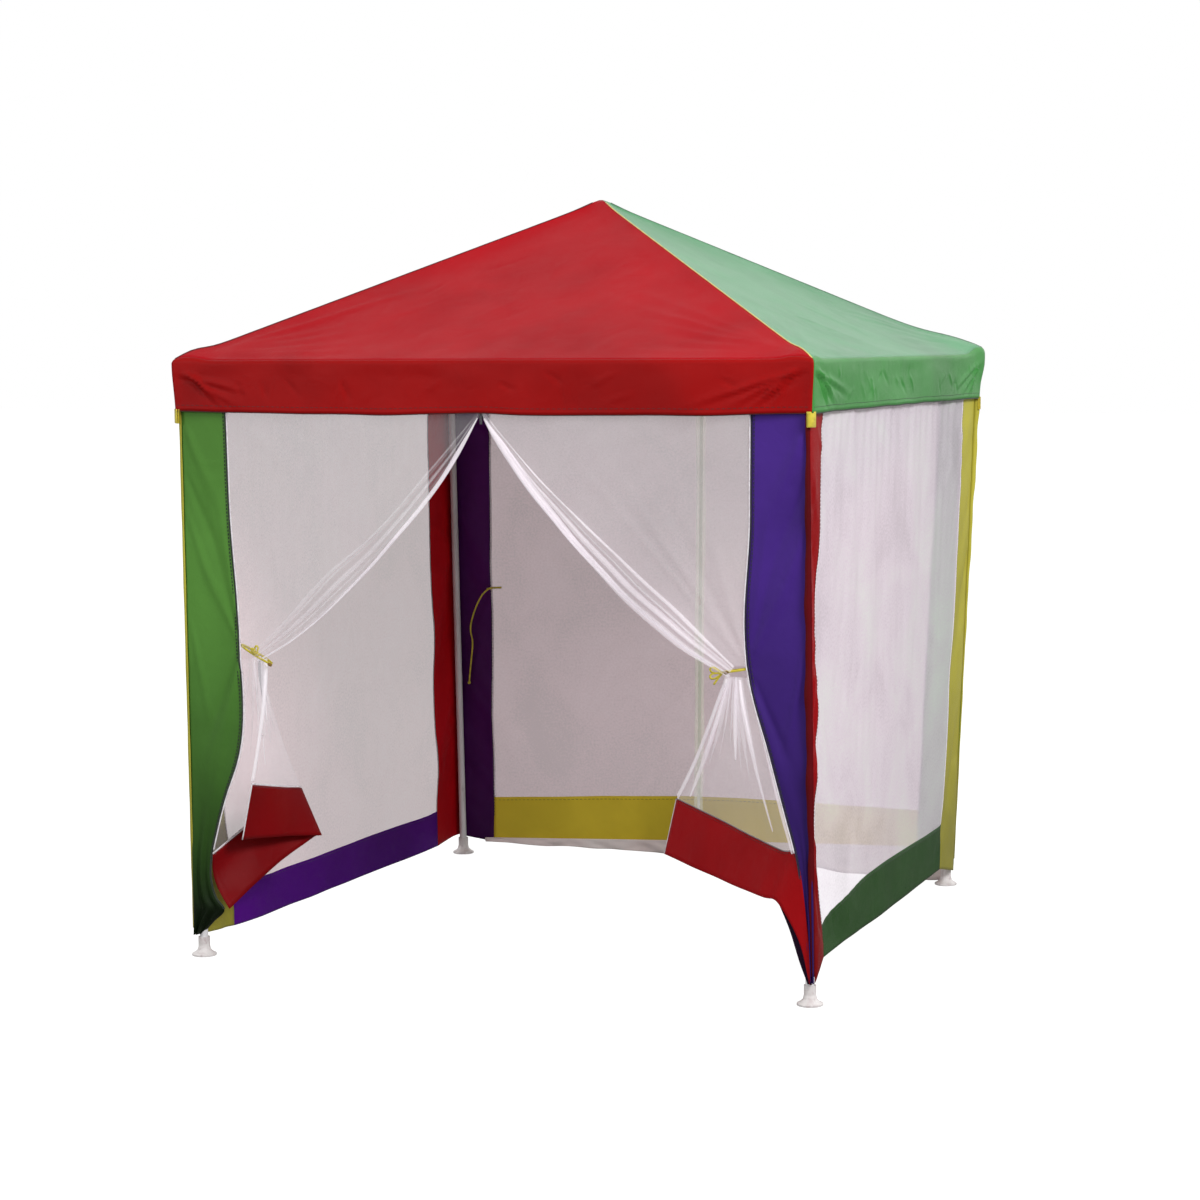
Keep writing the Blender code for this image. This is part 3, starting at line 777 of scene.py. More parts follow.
def make_light(name, place, target, power):
    """A round lamp that shines from a place to a target."""
    data = bpy.data.lights.new(name, "AREA")
    data.shape = "DISK"
    data.size = LIGHT_SIZE
    data.energy = power
    light = bpy.data.objects.new(name, data)
    bpy.context.scene.collection.objects.link(light)
    light.location = place
    light.rotation_mode = "QUATERNION"
    light.rotation_quaternion = (Vector(target) - Vector(place)).to_track_quat("-Z", "Y")


def by_ray(tree, kind, others, chosen, target):
    """Feeds target a strength of chosen for one kind of ray and others for the rest."""
    rays = tree.nodes.new("ShaderNodeLightPath")
    strength = tree.nodes.new("ShaderNodeMapRange")
    strength.inputs["To Min"].default_value = others
    strength.inputs["To Max"].default_value = chosen
    tree.links.new(rays.outputs[kind], strength.inputs["Value"])
    tree.links.new(strength.outputs["Result"], target)


def make_studio():
    """Plain even light, a pale floor and two soft lamps."""
    scene = bpy.context.scene
    scene.view_settings.view_transform = "Standard"
    world = bpy.data.worlds.new("studio")
    scene.world = world
    world.use_nodes = True
    sky = world.node_tree.nodes["Background"].inputs
    by_ray(world.node_tree, "Is Diffuse Ray", 1.0, WORLD_LIGHT, sky["Strength"])
    sky["Color"].default_value = (1, 1, 1, 1)

    mesh = bpy.data.meshes.new("floor")
    square = ((-1, -1), (1, -1), (1, 1), (-1, 1))
    mesh.from_pydata([(x * FLOOR_REACH, y * FLOOR_REACH, 0) for x, y in square], [], [(0, 1, 2, 3)])
    floor = bpy.data.objects.new("floor", mesh)
    scene.collection.objects.link(floor)
    look = Look("floor_pale")
    look.set(Base_Color=(FLOOR_GREY, FLOOR_GREY, FLOOR_GREY, 1), Roughness=0.9,
             Specular_IOR_Level=0.0)
    look.shader.inputs["Emission Color"].default_value = (1, 1, 1, 1)
    by_ray(look.material.node_tree, "Is Camera Ray", 0.05, 0.95,
           look.shader.inputs["Emission Strength"])
    mesh.materials.append(look.material)

    make_light("key", (7.0, -4.0, 6.0), (0, 0, 1.1), KEY_POWER)
    make_light("fill", (-5.0, -8.0, 3.5), (0, 0, 1.0), FILL_POWER)


make_studio()


# ---------------------------------------------------------------- cloth simulation

SIMULATED_FRAMES = 22


class Drape:
    """A coarse grid of cloth that hangs by its pinned points."""

    def __init__(self, name, points, pinned, slack, stiffness, mass):
        rows, columns = points.shape[:2]
        mesh = bpy.data.meshes.new(f"{name}_drape")
        mesh.from_pydata([tuple(p) for p in points.reshape(-1, 3)], [],
                         [tuple(int(i) for i in f) for f in grid_faces(rows, columns)])
        self.rest = points
        self.made = bpy.data.objects.new(f"{name}_drape", mesh)
        bpy.context.scene.collection.objects.link(self.made)
        group = self.made.vertex_groups.new(name="pinned")
        group.add([int(i) for i in np.flatnonzero(pinned.ravel())], 1.0, "REPLACE")
        cloth = self.made.modifiers.new("Cloth", "CLOTH")
        settings = cloth.settings
        settings.quality = 6
        settings.mass = mass
        settings.tension_stiffness = stiffness
        settings.compression_stiffness = stiffness
        settings.shear_stiffness = stiffness / 2
        settings.bending_stiffness = 0.05
        settings.air_damping = 2.0
        settings.vertex_group_mass = "pinned"
        settings.shrink_min = -slack
        cloth.collision_settings.use_collision = False
        cloth.point_cache.frame_start = 1
        cloth.point_cache.frame_end = SIMULATED_FRAMES

    def settle(self):
        """The grid as it hangs now; the helper object is removed."""
        held = self.made.evaluated_get(bpy.context.evaluated_depsgraph_get())
        places = np.zeros(self.rest.size, np.float32)
        held.data.vertices.foreach_get("co", places)
        mesh = self.made.data
        bpy.data.objects.remove(self.made)
        bpy.data.meshes.remove(mesh)
        return places.astype(float).reshape(self.rest.shape) - self.rest


def hang(drapes):
    """How far each drape's points move as all of them settle under gravity."""
    scene = bpy.context.scene
    scene.frame_start, scene.frame_end = 1, SIMULATED_FRAMES
    for number in range(1, SIMULATED_FRAMES + 1):
        scene.frame_set(number)
    moved = {name: drape.settle() for name, drape in drapes.items()}
    scene.frame_set(1)
    return moved


def capped(moved, limit):
    """Movements pulled back smoothly, so that none is longer than limit."""
    size = np.linalg.norm(moved, axis=-1, keepdims=True)
    return moved * np.where(size > 1e-9, limit * np.tanh(size / limit) / np.maximum(size, 1e-9), 1)


# ---------------------------------------------------------------- canopy

ROOF_STEPS = (24, 40)
ROOF_FINER = 3
ROOF_SAG_LIMIT = 0.020
VALANCE_STEPS = (18, 220)
VALANCE_TUCK = 0.004
CRUMPLES = {"front": 16, "right": 34, "back": 16, "left": 16}
# How far the valances' lower edges sag between their corners
VALANCE_DROOP = {"front": 0.012, "right": 0.002, "back": 0.006, "left": 0.006}
ALONG = {wall: np.cross((0.0, 0.0, 1.0), OUTWARD[wall]) for wall in WALLS}
# The eave's roll: the roof turns down into its valance on this radius
EAVE_RADIUS = 0.014
EAVE_ROWS = 7
PITCH = math.atan2(PEAK_HEIGHT - EAVE_HEIGHT, CANOPY_HALF)
EAVE_TANGENT = EAVE_RADIUS * math.tan((math.pi / 2 - PITCH) / 2)
ROOF_REACH = CANOPY_HALF - EAVE_TANGENT * math.cos(PITCH)
# How the hips bulge over the connectors: height, distance from the corner, width, push outwards
CORNER_BULGES = {
    "front_left": (0.013, 0.060, 0.055, 0.003),
    "front_right": (0.010, 0.060, 0.050, 0.004),
    "back_right": (0.027, 0.060, 0.150, 0.013),
    "back_left": (0.014, 0.080, 0.060, 0.008),
}


def over_connectors(points):
    """Lets the canopy bulge where it lies on the corner connectors."""
    points = points.copy()
    for corner, (side, depth) in CORNERS.items():
        height, middle, width, out = CORNER_BULGES[corner]
        x_left = CANOPY_HALF - points[..., 0] * side
        y_left = CANOPY_HALF - points[..., 1] * depth
        from_corner = np.hypot(x_left, y_left)
        from_hip = np.abs(x_left - y_left)
        above = points[..., 2] - EAVE_HEIGHT
        lift = height * np.exp(-((from_corner - middle) / width) ** 2 - (from_hip / 0.11) ** 2)
        push = out * np.exp(-(from_corner / 0.05) ** 2 - ((above + 0.015) / 0.07) ** 2)
        points[..., 0] += side * push
        points[..., 1] += depth * push
        points[..., 2] += lift * smoothstep(-0.03, 0.01, above)
    return points


def roof_grid(wall, rows, columns):
    """Points of a roof panel, rows from the peak down to the eave, and their two shares."""
    down, aside = shares(np.linspace(0.006, 1, rows), np.linspace(-1, 1, columns))
    reach = ROOF_REACH * down
    points = OUTWARD[wall] * reach[..., None] + ALONG[wall] * (reach * aside)[..., None]
    points[..., 2] = PEAK_HEIGHT - math.tan(PITCH) * reach
    return points, down, aside


def roof_shape(points, down, aside, seed):
    """Puts the hips' bulge, the drag folds and soft waves on a roof panel."""
    across = down * aside * CANOPY_HALF
    up = (1 - down) * CANOPY_HALF
    from_hip = (1 - np.abs(aside)) * down * CANOPY_HALF
    inner = smoothstep(0, 0.08, from_hip) * smoothstep(0, 0.06, up)
    lift = waves(across, up, seed, 0.0024, 0.22, 0.7)
    draw = random.Random(seed + 50)
    for side in (-1, 1):
        for angle in (5, 11, 18, 26, 35):
            turn = math.radians(angle + draw.uniform(-3, 3))
            length = draw.uniform(0.35, 0.85)
            start = (side * (0.93 - 0.02 * angle / 10), 0.02 + 0.002 * angle)
            end = (start[0] - side * length * math.cos(turn), start[1] + length * math.sin(turn))
            lift += crease(across, up, start, end, 0.014, draw.uniform(0.0025, 0.0050))
    for _ in range(26):
        start = (draw.uniform(-0.5, 0.5), draw.uniform(0.12, 0.75))
        turn = draw.uniform(0.7, 2.5)
        length = draw.uniform(0.08, 0.30)
        end = (start[0] + length * math.cos(turn), start[1] - length * math.sin(turn))
        lift += crease(across, up, start, end, 0.007, draw.uniform(-0.0026, 0.0026))
    shaped = points.copy()
    shaped[..., 2] += lift * inner
    shaped[..., 2] += 0.006 * np.exp(-(down / 0.05) ** 2)
    shaped[..., 2] = np.minimum(shaped[..., 2], PEAK_HEIGHT + 0.0026 - 0.0010 * np.exp(-down / 0.02))
    return over_connectors(shaped)


def eave_profile():
    """How far out and how far below the eave each row of a valance lies."""
    turned = np.linspace(PITCH, math.pi / 2, EAVE_ROWS)
    out = ROOF_REACH + EAVE_RADIUS * (np.sin(turned) - math.sin(PITCH))
    below = EAVE_RADIUS * (math.cos(PITCH) - np.cos(turned)) - EAVE_TANGENT * math.sin(PITCH)
    straight_down = np.linspace(below[-1], EAVE_HEIGHT - VALANCE_BOTTOM, VALANCE_STEPS[0])[1:]
    out = np.concatenate([out, np.full(len(straight_down), out[-1])])
    return out, np.concatenate([below, straight_down])


def valance_grid(wall, seed):
    """Points of a valance, rows from the eave down, with drag folds from its top corners."""
    reach, below = eave_profile()
    below, aside = shares(below, np.linspace(-1, 1, VALANCE_STEPS[1]))
    reach = reach[:, None]
    drop = EAVE_HEIGHT - VALANCE_BOTTOM
    across = aside * CANOPY_HALF
    end = 1 - np.abs(aside)
    hung = smoothstep(0.004, 0.045, below) * smoothstep(0, 0.03, end)
    out = waves(across, below, seed, 0.0026, 0.18, 0.6)
    draw = random.Random(seed + 9)
    for side in (-1, 1):
        for number in range(5):
            turn = math.radians(12 + 11 * number + draw.uniform(-4, 4))
            start = (side * (0.985 - 0.012 * number), -0.016 - draw.uniform(0, 0.022))
            length = min(draw.uniform(0.24, 0.55), (drop - 0.008 + start[1]) / math.sin(turn))
            finish = (start[0] - side * length * math.cos(turn), start[1] - length * math.sin(turn))
            out += crease(across, -below, start, finish, 0.0065, draw.uniform(0.0045, 0.0075))
            out -= crease(across, -below, (start[0], start[1] - 0.012),
                          (finish[0], finish[1] - 0.012), 0.0060, 0.0035)
    for _ in range(CRUMPLES[wall]):
        start = (draw.uniform(-0.9, 0.9), -draw.uniform(0.015, 0.09))
        lean = draw.uniform(-0.10, 0.10)
        finish = (start[0] + lean, start[1] - draw.uniform(0.02, 0.07))
        out += crease(across, -below, start, finish, 0.0050, draw.uniform(-0.0045, 0.0045))
    out = out * hung
    points = OUTWARD[wall] * (reach + out)[..., None] + ALONG[wall] * (aside * reach)[..., None]
    droop = 0.004 * np.exp(-end / 0.05) + waves(across, 0 * across, seed + 3, 0.0012, 0.15, 0.5)
    droop += VALANCE_DROOP[wall] * (1 - aside ** 4) * (1 - 0.5 * np.exp(-(across / 0.09) ** 2))
    points[..., 2] = EAVE_HEIGHT - below - droop * np.clip(below / drop, 0, 1)
    tuck = reach[:, 0] - VALANCE_TUCK * np.clip(below[:, 0] / drop, 0, 1) ** 1.5
    for corner, column in zip(WALLS[wall], (0, -1)):
        points[:, column, :2] = np.array(CORNERS[corner]) * tuck[:, None]
    return over_connectors(points)


def hang_roof():
    """Lets the roof panels sag between the peak, the rafters and the eaves."""
    drapes = {}
    for wall in WALLS:
        points, down, aside = roof_grid(wall, ROOF_STEPS[0] + 1, ROOF_STEPS[1] + 1)
        pinned = (np.abs(aside) > 0.999) | (down > 0.999) | (down < 0.02)
        points[..., 2] += 0.001 * np.sin(37 * points[..., 0]) * np.sin(29 * points[..., 1]) * ~pinned
        drapes[wall] = Drape(f"roof_{wall}", points, pinned, 0.0, 60.0, 0.25)
    return {wall: capped(sagged, ROOF_SAG_LIMIT) for wall, sagged in hang(drapes).items()}


def make_canopy():
    """The four roof panels and their valances, with piping and a tab at each corner."""
    moved = hang_roof()
    valances = {wall: valance_grid(wall, 31 + 7 * n) for n, wall in enumerate(WALLS)}
    for number, wall in enumerate(WALLS):
        colour = CANOPY_COLOUR[wall]
        rows, columns = (ROOF_FINER * steps + 1 for steps in ROOF_STEPS)
        points, down, aside = roof_grid(wall, rows, columns)
        if wall in moved:
            points = points + finer(moved[wall], ROOF_FINER)
        else:
            sag = ROOF_SAG_LIMIT * 4 * (1 - np.abs(aside)) * down * (1 - down)
            points[..., 2] -= np.clip(sag, 0, ROOF_SAG_LIMIT)
        points = roof_shape(points, down, aside, 11 + 5 * number)
        roof = cloth_piece(f"roof_panel_{wall}", points, ROOF_LOOKS[colour],
                           [f"roof_{wall}"], thickness=CLOTH_THICKNESS)
        hung = cloth_piece(f"valance_cloth_{wall}", valances[wall], VALANCE_LOOKS[colour],
                           [f"valance_{wall}"], thickness=CLOTH_THICKNESS)
        make_valance_edges(wall, valances[wall], colour)
    for corner in CORNERS:
        make_hip_piping(corner)
        make_corner_tab(corner)


def make_valance_edges(wall, points, colour):
    """The binding of the valance's lower edge, and the stitching of its hem."""
    edge = points[-1][::2].copy()
    edge[:, 2] -= 0.0006
    edge -= OUTWARD[wall] * 0.0012
    tape_piece(f"valance_binding_{wall}", edge, OUTWARD[wall], 0.0050, 0.0016,
               THREADS[colour])
    stitch_line(f"valance_stitching_{wall}", points[-3], OUTWARD[wall],
                THREADS[colour], f"{colour}_polyester", **HEM_STITCH)


def make_hip_piping(corner):
    """The cord sewn into the seam where two roof panels meet over a rafter."""
    wall = next(w for w, ends in WALLS.items() if ends[0] == corner)
    points, down, aside = roof_grid(wall, 61, 3)
    line = roof_shape(points, down, aside, 1)[1:, 0]
    radius = 0.0020 * (1 + 0.05 * np.sin(np.arange(len(line)) * 1.7))
    look, slot = HIP_LOOKS[corner]
    part_piece(f"hip_piping_{corner}", [tube_parts(line, radius, 8)], look)


TAB_LENGTH = 0.040
TAB_WIDTH = 0.026
TAB_GAP = 0.003


def make_corner_tab(corner):
    """The yellow webbing loop that hangs at the canopy's corner, with its sewn end."""
    side, depth = CORNERS[corner]
    out = np.array((side, depth, 0.0)) / math.sqrt(2)
    top = np.array((side, depth, 0.0)) * (CANOPY_HALF - 0.0065) + (0, 0, VALANCE_BOTTOM)
    down = np.array((0.0, 0.0, -1.0))
    turn = np.linspace(0, math.pi, 9)[1:-1]
    front = [top + out * TAB_GAP + down * z for z in np.linspace(0, TAB_LENGTH, 8)]
    bend = [
        top + down * TAB_LENGTH + (out * math.cos(t) + down * math.sin(t)) * TAB_GAP for t in turn
    ]
    back = [top - out * TAB_GAP + down * z for z in np.linspace(TAB_LENGTH, 0, 8)]
    facing = [out] * 8 + [out * math.cos(t) + down * math.sin(t) for t in turn] + [-out] * 8
    tape_piece(f"corner_tab_{corner}", front + bend + back, facing, TAB_WIDTH, 0.0016,
               TAPE)


make_canopy()


# ---------------------------------------------------------------- plain walls

# Coarse steps of a wall's grid: left strip, net, right strip; then net rows and hem rows
WALL_COLUMNS = (5, 46, 5)
WALL_ROWS = (44, 5)
WALL_FINER = 3
WALL_SLACK = 0.004
WALL_SWAY_LIMIT = 0.010

RIGHT_FRONT_EDGE = [(WALL_TOP, 0.128), (1.45, 0.085), (0.90, 0.050), (0.30, 0.052), (0.16, 0.088),
                    (0.068, 0.030)]
LEFT_FRONT_EDGE = [(WALL_TOP, -0.170), (0.60, -0.185), (0.0, -0.255)]
RIGHT_BACK_EDGE = [(WALL_TOP, -0.165), (0.90, -0.215), (0.0, -0.290)]
BACK_LEFT_EDGE = [(WALL_TOP, -0.160), (0.0, -0.135)]
BACK_RIGHT_EDGE = [(WALL_TOP, 0.118), (0.0, 0.135)]
# How far each hem's seam and lower edge rise above their level along the wall
SEAM_RISE = {"left": [(0, 0), (1, 0)], "right": [(0, -0.034), (0.16, 0), (1, 0)],
             "back": [(0, 0.040), (0.5, 0.044), (1, 0)]}
EDGE_RISE = {"left": [(0, 0), (1, 0)], "right": [(0, 0), (1, -0.026)],
             "back": [(0, 0.070), (0.5, 0.040), (1, 0.002)]}


class Wall:
    """A wall of cloth: a strip at each corner, a net between them and a hem below it."""

    def __init__(self, name, left_edge, right_edge, left_bottom, right_bottom):
        self.name = name
        node = "back_door_hem_left" if name == "back" else f"{name}_wall_hem"
        low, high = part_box(node)
        self.hem_bottom, self.hem_top = low.z, high.z
        self.edges = (left_edge, right_edge)
        self.bottoms = (left_bottom, right_bottom)

    def grid(self, times=1):
        left, middle, right = (count * times for count in WALL_COLUMNS)
        upper, lower = (count * times for count in WALL_ROWS)
        self.cuts = (left, left + middle, upper)
        share = np.concatenate([
            np.linspace(-1, 0, left + 1)[:-1],
            np.linspace(0, 1, middle + 1)[:-1],
            np.linspace(1, 2, right + 1),
        ])
        seam = self.hem_top + smooth_profile(SEAM_RISE[self.name], share)
        edge = self.hem_bottom + smooth_profile(EDGE_RISE[self.name], np.clip(share, 0, 1))
        edge += (self.bottoms[0] - edge[left]) * np.clip(-share, 0, 1)
        edge += (self.bottoms[1] - edge[left + middle]) * np.clip(share - 1, 0, 1)
        down = np.concatenate([
            np.linspace(0, 1, upper + 1)[:-1],
            np.linspace(1, 2, lower + 1),
        ])[:, None]
        height = np.where(
            down <= 1,
            WALL_TOP + (seam - WALL_TOP) * down,
            seam + (edge - seam) * (down - 1),
        )
        share = np.broadcast_to(share, height.shape)
        corner_left = wall_points(self.name, -1, np.zeros_like(height), height)
        corner_right = wall_points(self.name, 1, np.zeros_like(height), height)
        seam_left = wall_points(self.name, -1, smooth_profile(self.edges[0], height), height)
        seam_right = wall_points(self.name, 1, smooth_profile(self.edges[1], height), height)
        t = share[..., None]
        points = np.where(
            t <= 0, corner_left + (seam_left - corner_left) * (t + 1),
            np.where(t <= 1, seam_left + (seam_right - seam_left) * t,
                     seam_right + (corner_right - seam_right) * (t - 1)),
        )
        return points, share, down * np.ones_like(height)


def straight(offset):
    """A seam at the same distance from its corner all the way down."""
    return [(WALL_TOP, offset), (0.0, offset)]


PLAIN_WALLS = {
    "left": Wall("left", straight(STRIP_WIDTH), LEFT_FRONT_EDGE, 0.066, 0.066),
    "right": Wall("right", RIGHT_FRONT_EDGE, RIGHT_BACK_EDGE, 0.066, 0.046),
    "back": Wall("back", BACK_RIGHT_EDGE, BACK_LEFT_EDGE, 0.066, 0.066),
}
WALL_COLOURS = {
    "left": ("red", "yellow", "purple"),
    "right": ("red", "yellow", "green"),
    "back": ("green", "purple", "yellow"),
}
STRIP_ENDS = {"left": ("back", "front"), "right": ("front", "back"), "back": ("right", "left")}


def middle_columns(share):
    """Which columns lie at the middle of the wall, where the back wall has its zip."""
    return np.abs(share - 0.5) < 0.004


def hang_walls():
    """Lets the three plain walls settle, held at the canopy, the corners and the zip."""
    drapes = {}
    for number, (name, wall) in enumerate(PLAIN_WALLS.items()):
        points, share, down = wall.grid()
        pinned = (down < 0.001) | (share < -0.999) | (share > 1.999)
        if name == "back":
            pinned |= middle_columns(share)
        start = points + OUTWARD[name] * (
            waves(share * 1.6, down, 90 + number, 0.0015, 0.15, 0.6) * ~pinned
        )[..., None]
        drapes[name] = Drape(f"wall_{name}", start, pinned, WALL_SLACK, 25.0, 0.12)
    return {name: capped(moved, WALL_SWAY_LIMIT) for name, moved in hang(drapes).items()}


# The right wall hangs more evenly than the others
FOLD_SIZE = {"left": 1.0, "back": 1.0, "right": 0.5}


def wall_folds(name, points, share, seed):
    """Drag folds and soft waves of a wall, out of its plane; none at corners and zip."""
    across = np.linalg.norm(points[..., :2] - points[:, :1, :2], axis=-1)
    height = points[..., 2]
    span = float(across.max())
    held = smoothstep(0, 0.07, across) * smoothstep(0, 0.07, span - across)
    held = held * smoothstep(0, 0.05, WALL_TOP - height)
    if name == "back":
        held = held * smoothstep(0, 0.03, np.abs(share - 0.5))
    out = waves(across, height * 0.6, seed, 0.0022, 0.16, 0.8)
    draw = random.Random(seed + 70)
    for side in (0, 1):
        for _ in range(5):
            start = (0.03 + draw.uniform(0, 0.14), WALL_TOP - draw.uniform(0.02, 0.12))
            fall = draw.uniform(0.5, 1.15)
            length = draw.uniform(0.35, 0.9)
            finish = (start[0] + length * math.cos(fall), start[1] - length * math.sin(fall))
            if side:
                start, finish = (span - start[0], start[1]), (span - finish[0], finish[1])
            out += crease(across, height, start, finish, 0.014, draw.uniform(-0.0042, 0.0042))
    for _ in range(10):
        start = (draw.uniform(0.2, span - 0.2), draw.uniform(0.35, 1.3))
        lean = draw.uniform(-0.20, 0.20)
        finish = (start[0] + lean, start[1] - draw.uniform(0.15, 0.40))
        out += crease(across, height, start, finish, 0.016, draw.uniform(-0.0032, 0.0032))
    return out * held * FOLD_SIZE[name]


def make_plain_walls():
    """The left, right and back wall."""
    moved = hang_walls()
    for number, (name, wall) in enumerate(PLAIN_WALLS.items()):
        points, share, _ = wall.grid(WALL_FINER)
        if name in moved:
            points = points + finer(moved[name], WALL_FINER)
        folds = wall_folds(name, points, share, 200 + 11 * number)
        points = points + OUTWARD[name] * folds[..., None]
        dress_wall(name, wall, points)


def dress_wall(name, wall, points):
    """Cuts a wall's grid into its strips, net and hem, and sews them together."""
    left, right, upper = wall.cuts
    colours = WALL_COLOURS[name]
    strips = (points[:, :left + 1], points[:, right:])
    for end, colour, part in zip(STRIP_ENDS[name], colours, strips):
        looks = BACK_STRIP_LOOKS if "back" in (name, end) else STRIP_LOOKS
        piece = cloth_piece(f"{name}_strip_{end}", part, looks[colour],
                            [f"{name}_wall_strip_{end}"],
                            thickness=CLOTH_THICKNESS)
    middle = (left + right) // 2
    halves = {"right": slice(left, middle + 1), "left": slice(middle, right + 1)}
    hem_colour = colours[2]
    for side, columns in (halves.items() if name == "back" else [("", slice(left, right + 1))]):
        net, hem = points[:upper + 1, columns], points[upper:, columns]
        if name == "back":
            net_name, hem_name = f"back_net_{side}", f"back_hem_{side}"
            nodes = (f"back_door_net_{side}", f"back_door_hem_{side}")
        else:
            net_name, hem_name = f"{name}_net", f"{name}_hem"
            nodes = (f"{name}_wall_net", f"{name}_wall_hem")
        piece = cloth_piece(net_name, net, NETS[name], [nodes[0]])
        lower = cloth_piece(hem_name, hem, HEM_LOOKS[hem_colour],
                            [nodes[1]], thickness=HEM_THICKNESS)
        stitch_line(f"{hem_name}_stitching", hem[1], OUTWARD[name], THREADS[hem_colour],
                    f"{hem_colour}_polyester", **HEM_STITCH)
    seams = ((left, left + 1), (right, right - 1))
    for (edge, aside), end, colour in zip(seams, STRIP_ENDS[name], colours):
        stitch_line(f"{name}_strip_{end}_stitching", points[:upper + 8, edge], OUTWARD[name],
                    THREADS[colour], f"{colour}_polyester", wide=0.0035)
        line = points[:upper + 1, edge]
        line = line + unit(points[:upper + 1, aside] - line) * 0.0045
        tape_piece(f"{name}_selvedge_{end}", line, OUTWARD[name], 0.0055, 0.0012,
                   SELVEDGE)


make_plain_walls()


SKIRT_ENDS = (-0.90, 0.83)
SKIRT_STEPS = (9, 180)


def make_back_skirt():
    """The white ground cloth under the back wall's hem, crumpled where it meets the floor."""
    rows, columns = SKIRT_STEPS
    width = SKIRT_ENDS[1] - SKIRT_ENDS[0]
    down, offset = shares(np.linspace(0, 1, rows), np.linspace(*SKIRT_ENDS, columns))
    share = (offset - SKIRT_ENDS[0]) / width
    top = PLAIN_WALLS["back"].hem_bottom + smooth_profile(EDGE_RISE["back"], share) + 0.012
    floor = 0.010 + waves(offset, 0 * offset, 77, 0.002, 0.1, 0.4)
    floor = floor + 0.034 * smoothstep(-0.80, 0.05, offset)
    height = top + (floor - top) * down
    points = wall_points("back", 0, offset, height)
    ripple = waves(offset, height * 3, 78, 0.004, 0.06, 0.3) + 0.003 * np.sin(offset * 40) * down
    points[..., 1] += -0.004 + ripple * smoothstep(0, 0.4, down)
    skirt = cloth_piece("back_ground_cloth", points, SKIRT, thickness=CLOTH_THICKNESS)


make_back_skirt()


ZIP_TAPE_ROWS = 60


def make_back_zip_tape():
    """The woven tapes on the inner side of the back door's closed zip."""
    low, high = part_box("back_zip_chain")
    height = np.linspace(high.z, low.z, ZIP_TAPE_ROWS)
    line = wall_points("back", 0, 0.0015 * np.sin(height * 9), height)
    line[:, 1] -= 0.0040
    wide = 0.034 * (1 + 0.06 * np.sin(height * 17) + 0.04 * np.sin(height * 41))
    tape_piece("back_zip_tape", line, (0, -1, 0), wide, 0.0010, NETS["zip"])


make_back_zip_tape()


# ---------------------------------------------------------------- front wall and its doors

SIGN = {"left": -1, "right": 1}
STRIP_COLOUR = {"left": "green", "right": "purple"}
FRONT_EDGES = {
    "left": [(WALL_TOP, 0.150), (1.40, 0.155), (1.00, 0.178), (0.61, 0.160), (0.50, 0.118),
             (0.40, 0.086), (0.32, 0.066), (0.23, 0.064), (0.185, 0.080), (0.152, 0.106),
             (0.110, 0.062), (STRIP_BOTTOM, 0.018)],
    "right": [(WALL_TOP, 0.166), (1.40, 0.172), (0.95, 0.183), (0.71, 0.120), (0.54, 0.077),
              (0.425, 0.048), (0.28, 0.030), (STRIP_BOTTOM, 0.018)],
}
# The gathered part of each door, in x and z: its pleats' upper side and its free edge
PLEATS_UPPER = {
    "left": [(-0.012, 1.700), (-0.014, 1.672), (-0.165, 1.508), (-0.335, 1.330), (-0.505, 1.190),
             (-0.650, 1.045), (-0.756, 0.955)],
    "right": [(0.012, 1.700), (0.014, 1.672), (0.160, 1.508), (0.325, 1.355), (0.490, 1.213),
              (0.640, 1.085), (0.762, 0.965)],
}
PLEATS_FREE = {
    "left": [(-0.007, 1.700), (-0.008, 1.662), (-0.131, 1.472), (-0.292, 1.292), (-0.455, 1.130),
             (-0.610, 1.003), (-0.745, 0.925)],
    "right": [(0.007, 1.700), (0.008, 1.662), (0.110, 1.505), (0.262, 1.325), (0.430, 1.158),
              (0.590, 1.030), (0.745, 0.935)],
}
# Each hem band's upper and lower side from the corner strip to the door's free edge
HEM_UPPER = {
    "left": [(-0.921, -0.953, 0.322), (-0.868, -0.740, 0.410), (-0.832, -0.590, 0.455),
             (-0.818, -0.572, 0.468), (-0.804, -0.590, 0.480), (-0.796, -0.740, 0.505),
             (-0.799, -0.925, 0.540)],
    "right": [(0.984, -0.950, 0.066), (0.970, -0.955, 0.250), (0.942, -0.953, 0.425),
              (0.880, -0.905, 0.434), (0.750, -0.785, 0.448), (0.580, -0.625, 0.470),
              (0.412, -0.465, 0.488)],
}
HEM_LOWER = {
    "left": [(-0.869, -0.949, 0.155), (-0.815, -0.740, 0.258), (-0.768, -0.590, 0.318),
             (-0.752, -0.572, 0.325), (-0.740, -0.590, 0.331), (-0.785, -0.740, 0.350),
             (-0.836, -0.925, 0.368)],
    "right": [(0.979, -0.951, 0.062), (0.948, -0.952, 0.185), (0.884, -0.946, 0.290),
              (0.830, -0.905, 0.296), (0.720, -0.810, 0.300), (0.555, -0.655, 0.310),
              (0.385, -0.495, 0.322)],
}
# Spans at the start of the hem band that run down the strip to the foot
HEM_TONGUE = {"left": 0, "right": 2}
# How far the band's first end reaches behind its strip
HEM_BULGE = {"left": 0.030, "right": 0.0}
NECK = (0.757, -0.960, 0.932)
NECK_HALF_WIDTH = 0.022
DOOR_PLEATS = 6
TAIL_PLEATS = 9
# Rows and columns of the front's grids
STRIP_STEPS = (190, 25)
UPPER_ROWS = 120
FLAT_COLUMNS = 60
PLEAT_COLUMNS = 112
TAIL_STEPS = (90, 150)
HEM_ROWS = 13
HEM_SPAN_STEPS = 14


